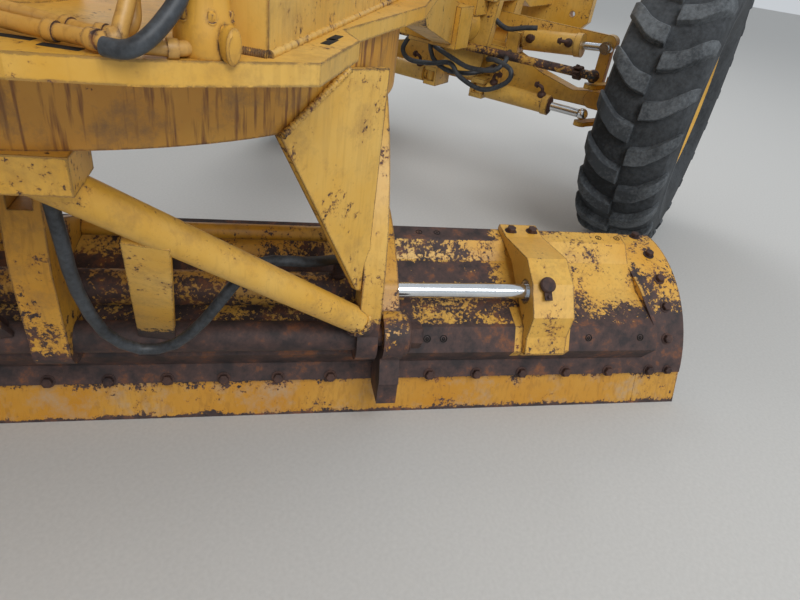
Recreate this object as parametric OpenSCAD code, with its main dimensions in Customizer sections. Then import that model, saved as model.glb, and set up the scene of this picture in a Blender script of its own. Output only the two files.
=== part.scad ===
// Motor grader with a hydraulic blade, an articulated frame and leaning front wheels.
// Millimetres. +X is forward, +Y is to the driver's left, +Z is up, and the wheels stand on z = 0.
// The machine frame has its origin on the ground under the centre of the circle.
// The blade frame turns with the circle: x is the blade's normal, u runs along the blade to the right.

/* [Layout] */
// Front axle ahead of the circle's centre
axle_x = 2330; // [2280:10:2450]
// Front axle to the centre of the rear tandems
wheelbase = 6100; // [6000:10:6300]
// Front to rear wheel of one tandem
tandem_pitch = 1540; // [1480:10:1620]
// Middle of the machine to the middle of each tyre
half_track = 1050; // [1030:5:1090]
// Articulation pin behind the circle's centre
hinge_back = 2050; // [2030:5:2080]
// Angle of the blade as it is parked
blade_angle = 42; // [20:1:60]

/* [Wheels] */
// Radius over the lugs
tyre_r = 690; // [680:1:700]
// Width of a tyre
tyre_w = 375; // [340:5:385]
// Radius of the rim's seat
rim_r = 305; // [295:1:315]
// Width of the rim between its flanges
rim_w = 250; // [230:5:270]
// Spindle radius of the front wheels
spindle_r = 45; // [40:1:50]
// Axle stub radius of the rear wheels
stub_r = 60; // [55:1:65]

/* [Blade] */
// Length of the moldboard
blade_len = 3630; // [3000:10:3700]
// Outer radius of the moldboard's curve
blade_r = 408; // [405:1:411]
// Thickness of the moldboard
blade_t = 20; // [16:1:22]
// Thickness of the cutting edge
edge_t = 19; // [16:1:22]
// Reach of the end bits past the moldboard
bit_over = 14; // [8:1:20]

/* [Circle and drawbar] */
// Outer radius of the circle
circle_r = 762; // [755:1:770]
// Underside of the circle above the ground
circle_z = 952; // [945:1:960]
// Height of the circle's wall
circle_h = 148; // [140:1:160]
// Thickness of the circle's wall
circle_t = 30; // [25:1:35]
// Number of teeth inside the circle
teeth = 64; // [56:4:72]
// Thickness of the drawbar's plate
plate_t = 30; // [25:1:35]
// Drawbar ball ahead of the circle's centre
ball_x = 2020; // [2010:1:2030]
// Height of the drawbar ball
ball_z = 880; // [870:1:890]
// Radius of the drawbar ball
ball_r = 60; // [55:1:62]

/* [Front frame] */
// Width of the gooseneck beam
beam_w = 280; // [260:5:300]
// Width of the push plate
push_w = 770; // [700:10:800]
// Thickness of the push plate
push_t = 70; // [50:5:90]
// Radius of the bolt holes in the push plate
push_hole_r = 17; // [13:1:21]
// Spacing of those holes across the plate
push_hole_y = 560; // [500:10:620]
// Spacing of those holes up the plate
push_hole_z = 300; // [260:10:340]

/* [Cab] */
// Width of the cab
cab_w = 1500; // [1440:10:1540]
// Length of the cab
cab_l = 1180; // [1150:5:1190]
// Underside of the cab's floor above the ground
cab_z = 1760; // [1755:1:1775]
// Height from the floor's underside to the roof's top
cab_h = 1590; // [1540:10:1650]
// Thickness of the walls and doors
wall_t = 40; // [35:1:50]
// Thickness of the window glass
glass_t = 6; // [5:1:8]

/* [Rear frame] */
// Overhang behind the tandem's centre
rear_over = 1830; // [1800:10:1900]
// Width of the hood
hood_w = 1000; // [940:10:1040]
// Sheet thickness of the hood
hood_t = 25; // [20:1:30]
// Radius of the hitch's bore
hitch_r = 25; // [20:1:28]

/* [Hidden] */
$fn = 96;

yellow = "#d9a326";
worn = "#5a4438";
chrome = "#d5d8dc";
black = "#2a2a2a";
clear = 0.3;             // gap between a piece and its seat
pin_gap = 0.3;           // radial gap of a pin in its bore

// Places that several pieces share
tandem_x = axle_x - wheelbase;
rear_x = tandem_x - rear_over;
hinge_x = -hinge_back;
push_x = axle_x + 770;
circle_fwd = 324;        // circle's centre ahead of the cutting edge, in the blade frame
board_c = [410, 20];     // centre of the moldboard's curve, in the blade frame's x and z
board_top = 87;          // angle where the moldboard ends at its top
bit_top = 89;            // angle where an end bit ends at its top
blade_high_u = blade_len / 2 + bit_over;

// The whole machine is moved so that the origin is under the middle of its bounding box
bit_fwd = board_c[0] + (blade_r - blade_t - clear) * cos(bit_top) - circle_fwd;
board_fwd = board_c[0] + blade_r * cos(board_top) - circle_fwd;
tyre_y = half_track + tyre_w / 2;
left_y = max(tyre_y, bit_fwd * sin(blade_angle) + blade_high_u * cos(blade_angle),
             board_fwd * sin(blade_angle) + blade_len / 2 * cos(blade_angle));
right_y = max(tyre_y, circle_fwd * sin(blade_angle) + blade_high_u * cos(blade_angle));
centre_x = (push_x + rear_x) / 2;
centre_y = (left_y - right_y) / 2;

module place() {
    translate([-centre_x, -centre_y, 0]) children();
}

module blade_place() {
    place() rotate([0, 0, blade_angle]) translate([-circle_fwd, 0, 0]) children();
}

// A profile drawn in x and z, extruded along the blade from u0 to u1 (u is -y)
module slab(u0, u1) {
    translate([0, -u0, 0]) rotate([90, 0, 0]) linear_extrude(u1 - u0) children();
}

// The same on both sides of the middle
module slabs(u0, u1) {
    slab(u0, u1) children();
    slab(-u1, -u0) children();
}

// Both sides of the machine; children are drawn for the left side
module both_sides() {
    children();
    mirror([0, 1, 0]) children();
}

// A left-side piece, drawn with its own place(), turned into the right-side one
module mirrored_y() {
    translate([0, -2 * centre_y, 0]) mirror([0, 1, 0]) children();
}

// The same before and behind the front axle's middle plane
module both_sides_x() {
    children();
    translate([2 * axle_x, 0, 0]) mirror([1, 0, 0]) children();
}

// A cylinder along Y from y0 to y1
module rod_y(x, z, y0, y1, r) {
    translate([x, y1, z]) rotate([90, 0, 0]) cylinder(h = y1 - y0, r = r);
}

// A cylinder along X from x0 to x1
module rod_x(y, z, x0, x1, r) {
    translate([x0, y, z]) rotate([0, 90, 0]) cylinder(h = x1 - x0, r = r);
}

// Turns the Z axis from point p towards point q
module aim(p, q) {
    d = q - p;
    translate(p) rotate([0, acos(d[2] / norm(d)), atan2(d[1], d[0])]) children();
}

module bar(p, q, r) {
    aim(p, q) cylinder(h = norm(q - p), r = r);
}

// A box from the low corner to the high corner
module box(a, b) {
    translate(a) cube(b - a);
}

// Part of a flat ring between two angles
module arc_band(r0, r1, a0, a1) {
    steps = 8;
    reach = 2 * r1;
    intersection() {
        difference() {
            circle(r = r1, $fn = 180);
            circle(r = r0, $fn = 180);
        }
        polygon(concat([[0, 0]],
            [for (i = [0 : steps]) let (a = a0 + (a1 - a0) * i / steps) reach * [cos(a), sin(a)]]));
    }
}

/* Wheels */

tyre_bead = rim_w / 2;
tyre_half = tyre_w / 2;
tyre_belly = (tyre_r + rim_r) / 2 - 20;
rim_t = 20;
hub_r = 135;

// Upright section of a tyre: radius, then the distance from the middle plane
module tyre_section() {
    polygon([[rim_r + clear, -tyre_bead], [rim_r + 24, -tyre_bead], [tyre_belly - 90, -tyre_half + 12],
             [tyre_belly, -tyre_half],
             [tyre_r - 75, -tyre_half + 6], [tyre_r - 22, -tyre_half + 22], [tyre_r, -tyre_half + 50],
             [tyre_r, tyre_half - 50], [tyre_r - 22, tyre_half - 22], [tyre_r - 75, tyre_half - 6],
             [tyre_belly, tyre_half], [tyre_belly - 90, tyre_half - 12], [rim_r + 24, tyre_bead],
             [rim_r + clear, tyre_bead]]);
}

module rim_section(bore_r) {
    polygon([[rim_r - rim_t, -tyre_bead - 14], [rim_r + 22, -tyre_bead - 14],
             [rim_r + 22, -tyre_bead - clear], [rim_r, -tyre_bead - clear],
             [rim_r, tyre_bead + clear], [rim_r + 22, tyre_bead + clear],
             [rim_r + 22, tyre_bead + 14], [rim_r - rim_t, tyre_bead + 14], [rim_r - rim_t, 40],
             [hub_r + 45, 18], [hub_r, 18], [hub_r, 60], [bore_r + pin_gap, 60],
             [bore_r + pin_gap, -50], [hub_r - 25, -50], [hub_r - 25, -8], [hub_r + 45, -8],
             [rim_r - rim_t, 14]]);
}

// A wheel with its axle along Y; side is 1 on the left and -1 on the right
module wheel(x, side, bore_r) {
    place() translate([x, side * half_track, tyre_r]) rotate([-90 * side, 0, 0]) {
        color(black) rotate_extrude() tyre_section();
        color(yellow) rotate_extrude() rim_section(bore_r);
    }
}

/* Front axle, lean and steering */

lean_y = 715;            // lean pin
lean_z = 640;
king_y = 800;            // steering axis
arm_back = 180;          // end of a steering arm behind the kingpin
arm_in = 85;             // and inside it
arm_t = 22;
fork_t = 40;
sleeve_half = 70;        // half the height of the yoke's sleeve
sleeve_r = 48;
king_r = 28;
knee_r = 55;
axle_half = 45;          // half the thickness of the axle's eye along X
axle_eye_r = 42;
lean_pin_r = 28;
yoke_t = 32;
top_y = 700;             // upper lean joint
top_z = 900;
yoke_front = axle_x + axle_half + 18;
lean_bar_t = 24;
steer_x = axle_x - arm_back;
rod_end_y = king_y - arm_in;
fork_low = lean_z - sleeve_half - clear - fork_t;
fork_high = lean_z + sleeve_half + clear;
pivot_z = 720;           // pin that the axle rocks on
pivot_r = 40;
tie_ball_r = 30;
tie_gap = 7;             // the arm tilts under the ball as the wheel leans
tie_z = fork_high + arm_t + tie_gap + tie_ball_r;
steer_ball_r = 28;
steer_in_y = 150;        // inner pin of a steering cylinder
steer_gap = 6;           // the arm's edge rises under the rod as the wheel leans
steer_z = fork_low + arm_t + steer_gap + steer_ball_r;
steer_p = [steer_x, steer_in_y, steer_z];
steer_q = [steer_x, rod_end_y, steer_z];
lean_cyl_x = axle_x - 10;
lean_in = [lean_cyl_x, -235, 835];
lean_out = [lean_cyl_x, -top_y, top_z - 20];
lean_eye_t = 40;
lean_rod_r = 19;
small_pin_r = 16;
slot_half = 25;          // half the width of the small clevises

module front_axle() {
    color(yellow) place() {
        difference() {
            union() {
                // Arched beam, drawn from the front
                translate([axle_x - axle_half, 0, 0]) rotate([90, 0, 90]) linear_extrude(2 * axle_half)
                    polygon([[-lean_y, lean_z + axle_eye_r], [-600, lean_z + 20], [-420, 705], [-200, 790],
                             [200, 790], [420, 705], [600, lean_z + 20], [lean_y, lean_z + axle_eye_r],
                             [lean_y, lean_z - axle_eye_r], [560, 595], [250, 575], [-250, 575],
                             [-560, 595], [-lean_y, lean_z - axle_eye_r]]);
                both_sides() rod_x(lean_y, lean_z, axle_x - axle_half, axle_x + axle_half, axle_eye_r);
                // Centre casting and its pivot tube
                box([axle_x - 85, -200, 590], [axle_x + 85, 200, 790]);
                rod_x(0, pivot_z, axle_x - 88, axle_x + 88, 95);
                // Inner clevises of the steering cylinders
                both_sides() difference() {
                    box([steer_x - 40, steer_in_y - 45, steer_z - 48],
                        [axle_x - 60, steer_in_y + 30, steer_z + 48]);
                    box([steer_x - 45, steer_in_y - 32, steer_z - slot_half],
                        [steer_x + 40, steer_in_y + 40, steer_z + slot_half]);
                }
                // Clevis of the lean cylinder
                difference() {
                    box([lean_cyl_x - 45, lean_in[1] - 27, 770], [lean_cyl_x + 45, lean_in[1] + 45, 868]);
                    box([lean_cyl_x - slot_half, lean_in[1] - 35, lean_in[2] - 38],
                        [lean_cyl_x + slot_half, lean_in[1] + 33, 875]);
                }
            }
            both_sides() rod_x(lean_y, lean_z, axle_x - 100, axle_x + 100, lean_pin_r + pin_gap);
            rod_x(0, pivot_z, axle_x - 100, axle_x + 100, pivot_r + pin_gap);
        }
        both_sides() translate([steer_x, steer_in_y, steer_z - 48]) cylinder(h = 96, r = small_pin_r);
        rod_x(lean_in[1], lean_in[2], lean_cyl_x - 45, lean_cyl_x + 45, small_pin_r);
    }
}

// Left yoke: hangs on the lean pin and carries the kingpin
module yoke() {
    near_x = axle_x + axle_half + clear;
    far_x = axle_x + axle_half + yoke_t;
    color(yellow) place() {
        difference() {
            union() {
                both_sides_x() rod_x(lean_y, lean_z, near_x, far_x, axle_eye_r);
                both_sides_x() box([near_x, lean_y, lean_z - axle_eye_r],
                                   [far_x, king_y - 30, lean_z + axle_eye_r]);
                box([2 * axle_x - far_x, lean_y + 48, lean_z - axle_eye_r],
                    [far_x, king_y - 10, lean_z + axle_eye_r]);
                translate([axle_x, king_y, lean_z - sleeve_half]) cylinder(h = 2 * sleeve_half, r = sleeve_r);
                // Upper arm; the lean bar lies on its front and the lean cylinder's eye on its back
                box([near_x, top_y - 30, lean_z], [yoke_front, top_y + 25, top_z]);
                box([axle_x + 10 + clear, top_y - 30, lean_z + 60], [yoke_front, top_y + 25, top_z]);
                rod_x(top_y, top_z, axle_x + 10 + clear, yoke_front, 38);
            }
            translate([axle_x, king_y, 0]) cylinder(h = 2 * lean_z, r = king_r + pin_gap);
            // Room for the axle's eye
            rod_x(lean_y, lean_z, 2 * axle_x - near_x, near_x, axle_eye_r + 1);
        }
        rod_x(lean_y, lean_z, 2 * axle_x - far_x, far_x, lean_pin_r);
    }
}

module lean_yoke_left() {
    yoke();
}

module lean_yoke_right() {
    mirrored_y() yoke();
}

// Left knuckle: a fork over the yoke's sleeve, a spindle and two steering arms
module knuckle() {
    fork_half = 50;
    color(yellow) place() {
        translate([axle_x, king_y, fork_low]) cylinder(h = fork_high + fork_t - fork_low, r = king_r);
        for (z = [fork_low, fork_high]) {
            translate([axle_x, king_y, z]) cylinder(h = fork_t, r = knee_r);
            box([axle_x - fork_half, king_y, z], [axle_x + fork_half, king_y + 95, z + fork_t]);
            steering_arm(z);
        }
        box([axle_x - fork_half, king_y + 58, fork_low],
            [axle_x + fork_half, king_y + 95, fork_high + fork_t]);
        rod_y(axle_x, tyre_r, king_y + 60, half_track + 62, spindle_r);
    }
}

// Flat arm from the kingpin back to the end of a rod
module steering_arm(z) {
    arm_w = 52;
    start = 30;
    a = atan2(-arm_in, -arm_back);
    l = norm([arm_back, arm_in]);
    translate([axle_x, king_y, z]) rotate([0, 0, a]) {
        translate([start, -arm_w / 2, 0]) cube([l - start, arm_w, arm_t]);
        translate([l, 0, 0]) cylinder(h = arm_t, r = 30);
    }
}

module knuckle_left() {
    knuckle();
}

module knuckle_right() {
    mirrored_y() knuckle();
}

module tie_rod() {
    color(worn) place() {
        rod_y(steer_x, tie_z, -rod_end_y, rod_end_y, 21);
        both_sides() translate([steer_x, rod_end_y, tie_z]) sphere(r = tie_ball_r);
    }
}

module lean_bar() {
    x0 = yoke_front + clear;
    color(yellow) place() {
        translate([x0, 0, 0]) rotate([90, 0, 90]) linear_extrude(lean_bar_t)
            polygon([[-top_y, top_z + 30], [0, top_z + 42], [top_y, top_z + 30],
                     [top_y, top_z - 30], [0, top_z - 42], [-top_y, top_z - 30]]);
        both_sides() rod_x(top_y, top_z, x0, x0 + lean_bar_t + 8, 34);
    }
}

// Barrel of a cylinder from its eye at p towards q: the tube starts at neck and ends at len
module barrel(p, q, len, r, rod_r, neck) {
    collar = 34;
    wall = 20;
    difference() {
        aim(p, q) {
            translate([0, 0, 24]) cylinder(h = neck, r = 24);
            translate([0, 0, neck]) cylinder(h = len - neck, r = r);
            translate([0, 0, len - collar]) cylinder(h = collar, r = r + 5);
        }
        aim(p, q) translate([0, 0, neck + wall]) cylinder(h = len, r = rod_r + pin_gap);
    }
}

// Eye of a cylinder: a drum at p, turned by rot, with a bore
module eye(p, rot, r, t, pin) {
    translate(p) rotate(rot) difference() {
        cylinder(h = t, r = r, center = true);
        cylinder(h = t + 20, r = pin + pin_gap, center = true);
    }
}

// Rod from a point inside the barrel to its eye at q
module cyl_rod(p, q, inside, rod_r, eye_r) {
    l = norm(q - p);
    aim(p, q) translate([0, 0, inside]) cylinder(h = l - inside - eye_r + 6, r = rod_r);
}

module lean_barrel() {
    color(yellow) place() {
        barrel(lean_in, lean_out, 350, 52, lean_rod_r, 42);
        eye(lean_in, [0, 90, 0], 30, 46, small_pin_r);
    }
}

// The rod's eye lies beside the yoke's upper arm
module lean_rod() {
    color(chrome) place() {
        cyl_rod(lean_in, lean_out, 180, lean_rod_r, 30);
        rod_x(lean_out[1], lean_out[2], lean_cyl_x - lean_eye_t / 2, lean_cyl_x + lean_eye_t / 2, 30);
        rod_x(lean_out[1], lean_out[2], lean_cyl_x - lean_eye_t / 2 - 10, lean_cyl_x, 18);
    }
}

// Steering cylinder of the left side
module steer_barrel() {
    color(yellow) place() {
        barrel(steer_p, steer_q, 390, 44, 20, 42);
        eye(steer_p, [0, 0, 0], 30, 48, small_pin_r);
    }
}

// Its ball stays over the lower steering arm
module steer_rod() {
    color(chrome) place() {
        cyl_rod(steer_p, steer_q, 210, 20, steer_ball_r);
        translate(steer_q) sphere(r = steer_ball_r);
    }
}

module steer_barrel_left() {
    steer_barrel();
}

module steer_barrel_right() {
    mirrored_y() steer_barrel();
}

module steer_rod_left() {
    steer_rod();
}

module steer_rod_right() {
    mirrored_y() steer_rod();
}

/* Front frame */

beam_low = 1620;
beam_high = 1910;
neck_end_x = -1800;      // rear end of the gooseneck
saddle_x = 60;           // lift cylinder saddle
lift_y = 678;            // plane of a lift cylinder
lift_top = [saddle_x, lift_y, 2180];
lift_pin_r = 25;
lift_r = 55;
ear_y0 = lift_y - lift_r - 5;
ear_y1 = lift_y + lift_r + 5;
ear_t = 26;              // thickness of a lift cylinder's outer plate
race_t = 16;
ear_r = 170;             // articulation ears
hinge_r = 50;

module frame() {
    color(yellow) place() {
        // Gooseneck, from the push plate over the circle to the articulation pin
        translate([0, beam_w / 2, 0]) rotate([90, 0, 0]) linear_extrude(beam_w)
            polygon([[push_x - push_t - clear, 960], [push_x - push_t - clear, 1330], [axle_x + 250, 1400],
                     [1490, beam_high - 40], [1150, beam_high], [-200, beam_high], [-720, cab_z - clear],
                     [neck_end_x, cab_z - clear], [neck_end_x, 1180], [-1400, 1250], [-900, 1560],
                     [-200, beam_low], [1000, beam_low], [1250, beam_low - 40], [axle_x - 200, 1130],
                     [axle_x - 200, 1000], [axle_x + 210, 1000], [axle_x + 330, 960]]);
        // Hangers of the front axle and the pin between them; the first number is where one starts
        for (h = [[axle_x - 145, 54], [axle_x + 96, 104]])
            translate([h[0], 0, 0]) rotate([90, 0, 90]) linear_extrude(h[1])
                polygon([[-150, 1010], [-110, 640], [-70, 610], [70, 610], [110, 640], [150, 1010]]);
        rod_x(0, pivot_z, axle_x - 140, axle_x + 110, pivot_r);
        // Socket of the drawbar ball and the web that carries it
        difference() {
            union() {
                rod_x(0, ball_z, ball_x - 5, ball_x + 105, 95);
                box([ball_x + 30, -90, ball_z + 50], [axle_x - 130, 90, 1180]);
            }
            translate([ball_x, 0, ball_z]) sphere(r = ball_r + race_t + clear);
            rod_x(0, ball_z, ball_x - 60, ball_x + 2, 74);
        }
        saddle();
        // Ears of the articulation
        for (z = [700, 1400])
            difference() {
                union() {
                    box([hinge_x, -ear_r, z], [neck_end_x + 100, ear_r, z + 80]);
                    translate([hinge_x, 0, z]) cylinder(h = 80, r = ear_r);
                }
                translate([hinge_x, 0, z - 10]) cylinder(h = 100, r = hinge_r + pin_gap);
            }
        box([neck_end_x, -ear_r, 700], [neck_end_x + 110, ear_r, 1480]);
        // Bracket of the centre shift cylinder
        box([shift_p[0] - 50, beam_w / 2 - 30, beam_low], [shift_p[0] + 50, shift_p[1] + 35, beam_low + 70]);
        for (x = [shift_p[0] - 50, shift_p[0] + 32])
            box([x, shift_p[1] - 35, shift_p[2] - 32], [x + 18, shift_p[1] + 35, beam_low + 10]);
        rod_x(shift_p[1], shift_p[2], shift_p[0] - 50, shift_p[0] + 50, small_pin_r);
    }
}

// Saddle over the beam, with arms out to the two lift cylinders
module saddle() {
    arm_z0 = lift_top[2] - 70;
    arm_z1 = lift_top[2] + 70;
    difference() {
        union() {
            translate([saddle_x - 110, 0, 0]) rotate([90, 0, 90]) linear_extrude(220)
                polygon([[-ear_y0, arm_z0], [-ear_y0, arm_z1], [-180, beam_high + 150],
                         [180, beam_high + 150], [ear_y0, arm_z1], [ear_y0, arm_z0], [190, beam_low + 40],
                         [beam_w / 2, beam_low + 40], [beam_w / 2, beam_high], [-beam_w / 2, beam_high],
                         [-beam_w / 2, beam_low + 40], [-190, beam_low + 40]]);
            both_sides() {
                box([saddle_x - 60, ear_y1, arm_z0 + 5], [saddle_x + 125, ear_y1 + ear_t, arm_z1 - 5]);
                box([saddle_x + 90, ear_y0 - 18, arm_z0 + 5],
                    [saddle_x + 125, ear_y1 + ear_t, arm_z1 - 5]);
            }
        }
        both_sides() rod_y(lift_top[0], lift_top[2], lift_y - 115, ear_y1 + ear_t + 10, lift_pin_r + pin_gap);
    }
}

push_hole_mid = 1080;

module push_plate() {
    color(yellow) place() difference() {
        translate([push_x - push_t, 0, 0]) rotate([90, 0, 90]) linear_extrude(push_t)
            polygon([[-push_w / 2, 1330], [push_w / 2, 1330], [push_w / 2, 900], [push_w / 2 - 90, 800],
                     [-push_w / 2 + 90, 800], [-push_w / 2, 900]]);
        for (y = [-1, 1], z = [-1, 1])
            rod_x(y * push_hole_y / 2, push_hole_mid + z * push_hole_z / 2, push_x - push_t - 10, push_x + 10,
                  push_hole_r);
    }
}

/* Cab */

cab_front_x = -750;
cab_rear_x = cab_front_x - cab_l;
cab_top = cab_z + cab_h;
floor_t = 40;
roof_t = 90;
wall_z0 = cab_z + floor_t + clear;
wall_z1 = cab_top - roof_t - clear;
door_x0 = cab_rear_x + 330;
door_x1 = cab_front_x - 75;

module cab_floor() {
    color(yellow) place() box([cab_rear_x, -cab_w / 2, cab_z], [cab_front_x, cab_w / 2, cab_z + floor_t]);
}

// Wall across the machine with windows cut; openings are [y0, z0, y1, z1]
module cross_wall(x0, openings) {
    difference() {
        box([x0, -cab_w / 2, wall_z0], [x0 + wall_t, cab_w / 2, wall_z1]);
        for (o = openings)
            for (s = [-1, 1])
                box([x0 - 5, min(s * o[0], s * o[2]), o[1]],
                    [x0 + wall_t + 5, max(s * o[0], s * o[2]), o[3]]);
    }
}

sill_z = cab_z + 470;
head_z = cab_top - roof_t - 90;

// Half openings of the front and rear wall: inner y, low z, outer y, high z
front_openings = [[0, sill_z, cab_w / 2 - 75, head_z], [190, cab_z + 110, cab_w / 2 - 75, sill_z - 50]];
rear_openings = [[0, sill_z, cab_w / 2 - 75, head_z]];

module cab_front() {
    color(yellow) place() cross_wall(cab_front_x - wall_t, front_openings);
}

module cab_rear() {
    color(yellow) place() cross_wall(cab_rear_x, rear_openings);
}

// Side behind the door, the post ahead of it, and the beam over it
door_gap = 5;
door_hinge_x = door_x0 + 8;
door_hinge_y = cab_w / 2 + 14;
knuckle_h = 60;

module cab_sides() {
    y0 = cab_w / 2 - wall_t;
    color(yellow) place() both_sides() {
        difference() {
            box([cab_rear_x + wall_t + clear, y0, wall_z0],
                [cab_front_x - wall_t - clear, cab_w / 2, wall_z1]);
            box([door_x0 - door_gap, y0 - 5, wall_z0 - 5],
                [door_x1 + door_gap, cab_w / 2 + 5, head_z + 30 + door_gap]);
            box([cab_rear_x + wall_t + 45, y0 - 5, sill_z], [door_x0 - 60, cab_w / 2 + 5, head_z]);
        }
        // Lugs with the pins that the door hangs on
        for (z = door_hinge_z) {
            box([door_x0 - 50, cab_w / 2 - 1, z + knuckle_h + clear],
                [door_x0 - 8, cab_w / 2 + 10, z + knuckle_h + 20]);
            box([door_x0 - 20, door_hinge_y - 11, z + knuckle_h + clear],
                [door_hinge_x, door_hinge_y + 11, z + knuckle_h + 20]);
            translate([door_hinge_x, door_hinge_y, z + knuckle_h + clear]) cylinder(h = 20 - clear, r = 12);
            translate([door_hinge_x, door_hinge_y, z]) cylinder(h = knuckle_h + 20, r = 8);
        }
    }
}

module cab_roof() {
    color(yellow) place() {
        translate([0, cab_w / 2 + 40, 0]) rotate([90, 0, 0]) linear_extrude(cab_w + 80)
            polygon([[cab_rear_x - 40, cab_top - roof_t], [cab_front_x + 90, cab_top - roof_t],
                     [cab_front_x + 90, cab_top - 50], [cab_front_x + 40, cab_top - 10],
                     [cab_front_x - 200, cab_top], [cab_rear_x + 60, cab_top],
                     [cab_rear_x - 40, cab_top - 30]]);
    }
}

module cab_glass() {
    color("#9fb4b8", 0.4) place() {
        for (o = front_openings, s = [-1, 1])
            if (o[0] > 0 || s > 0) {
                y0 = o[0] > 0 ? min(s * o[0], s * o[2]) : -o[2];
                y1 = o[0] > 0 ? max(s * o[0], s * o[2]) : o[2];
                box([cab_front_x - wall_t / 2 - glass_t, y0 + clear, o[1] + clear],
                    [cab_front_x - wall_t / 2, y1 - clear, o[3] - clear]);
            }
        for (o = rear_openings)
            box([cab_rear_x + wall_t / 2, -o[2] + clear, o[1] + clear],
                [cab_rear_x + wall_t / 2 + glass_t, o[2] - clear, o[3] - clear]);
        both_sides() box([cab_rear_x + wall_t + 45 + clear, cab_w / 2 - wall_t / 2 - glass_t, sill_z + clear],
                         [door_x0 - 60 - clear, cab_w / 2 - wall_t / 2, head_z - clear]);
    }
}

// Left door with an upper and a lower window, hinged at its rear edge
door_hinge_z = [cab_z + 200, head_z - 120];

module door() {
    y0 = cab_w / 2 - wall_t;
    handle_z = sill_z - 30;
    color(yellow) place() {
        difference() {
            union() {
                box([door_x0, y0, wall_z0 + 3], [door_x1, cab_w / 2, head_z + 30]);
                for (z = door_hinge_z) {
                    box([door_hinge_x, cab_w / 2 - 2, z], [door_x0 + 70, cab_w / 2 + 8, z + knuckle_h]);
                    translate([door_hinge_x, door_hinge_y, z]) cylinder(h = knuckle_h, r = 13);
                }
            }
            box([door_x0 + 60, y0 - 5, sill_z], [door_x1 - 60, cab_w / 2 + 5, head_z - 35]);
            box([door_x0 + 60, y0 - 5, cab_z + 130], [door_x1 - 60, cab_w / 2 + 5, sill_z - 60]);
            for (z = door_hinge_z)
                translate([door_hinge_x, door_hinge_y, z - 5]) cylinder(h = knuckle_h + 10, r = 8 + pin_gap);
        }
        // Handle
        rod_x(cab_w / 2 + 34, handle_z, door_x1 - 190, door_x1 - 50, 9);
        for (x = [door_x1 - 180, door_x1 - 60])
            rod_y(x, handle_z, cab_w / 2 - 5, cab_w / 2 + 36, 8);
    }
}

module door_left() {
    door();
}

module door_right() {
    mirrored_y() door();
}

seat_x = cab_rear_x + 330;

module seat() {
    color("#3a3a38") place() {
        translate([seat_x, 0, cab_z + floor_t + clear]) cylinder(h = 250, r = 120);
        box([seat_x - 230, -240, cab_z + floor_t + 250], [seat_x + 250, 240, cab_z + floor_t + 370]);
        translate([seat_x - 235, 220, cab_z + floor_t + 350]) rotate([90, 0, 0]) linear_extrude(440)
            polygon([[0, 0], [110, 0], [70, 560], [-30, 560]]);
    }
}

module controls() {
    column_x = cab_front_x - 330;
    floor_z = cab_z + floor_t + clear;
    color("#4a4a48") place() {
        // Pedestal
        translate([0, 130, 0]) rotate([90, 0, 0]) linear_extrude(260)
            polygon([[column_x + 20, floor_z], [column_x + 200, floor_z], [column_x + 110, floor_z + 720],
                     [column_x - 10, floor_z + 700]]);
        // Steering wheel
        translate([column_x - 10, 0, floor_z + 740]) rotate([0, -35, 0]) {
            translate([0, 0, -60]) cylinder(h = 70, r = 28);
            rotate_extrude() translate([195, 0]) circle(r = 14, $fn = 24);
            for (a = [0, 120, 240]) rotate([0, 0, a]) translate([0, -12, -6]) cube([190, 24, 12]);
        }
        // Two banks of levers beside the wheel
        both_sides() {
            box([column_x + 30, 125, floor_z + 560], [column_x + 100, 330, floor_z + 640]);
            for (i = [0 : 4])
                translate([column_x + 60, 165 + 38 * i, floor_z + 630]) rotate([0, -12, 0]) {
                    cylinder(h = 150, r = 6);
                    translate([0, 0, 150]) sphere(r = 15);
                }
        }
    }
}

step_x0 = -1900;
step_x1 = -1690;
step_y0 = 815;

// Steps, catwalks and grab rails on both sides
module access() {
    color(yellow) place() both_sides() {
        for (z = [560, 860, 1160])
            box([step_x0, step_y0, z], [step_x1, 960, z + 30]);
        for (x = [step_x0, step_x1 - 12])
            box([x, step_y0 + 10, 540], [x + 12, 900, cab_z - 30]);
        // Catwalk under the cab's edge
        box([step_x0, beam_w / 2, cab_z - 60], [step_x1, 900, cab_z - 20]);
        box([step_x1 - 1, cab_w / 2 - 120, cab_z - 60], [cab_front_x - 20, cab_w / 2 + 60, cab_z - 20]);
        // Grab rail
        rod_y(cab_rear_x + 60, 2450, cab_w / 2 + clear, cab_w / 2 + 70, 14);
        rod_y(cab_rear_x + 60, 3050, cab_w / 2 + clear, cab_w / 2 + 70, 14);
        translate([cab_rear_x + 60, cab_w / 2 + 70, 2450 - 14]) cylinder(h = 628, r = 14);
    }
}

module lamp(x, y, z, dir) {
    translate([x, y, z]) rotate([0, 90 * dir, 0]) {
        cylinder(h = 60, r1 = 45, r2 = 70);
        translate([0, 0, 60]) cylinder(h = 12, r = 72);
    }
}

// Head lamps on a bar across the gooseneck and work lamps under the roof's edge
lamp_bar_x = 1075;

module lamps() {
    color("#c9c4b4") place() {
        translate([cab_front_x + 60, 0, cab_top - roof_t - clear]) both_sides() translate([0, 480, -75]) {
            translate([0, 0, 60]) cylinder(h = 15, r = 12);
            lamp(-35, 0, 0, 1);
        }
    }
    color(yellow) place() {
        box([lamp_bar_x, -560, beam_high + 140], [lamp_bar_x + 50, 560, beam_high + 180]);
        box([lamp_bar_x, -60, beam_high + clear], [lamp_bar_x + 50, 60, beam_high + 145]);
        both_sides() {
            translate([lamp_bar_x + 25, 500, beam_high + 175]) cylinder(h = 40, r = 12);
            lamp(lamp_bar_x - 10, 500, beam_high + 270, 1);
        }
    }
}

/* Rear frame */

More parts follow.
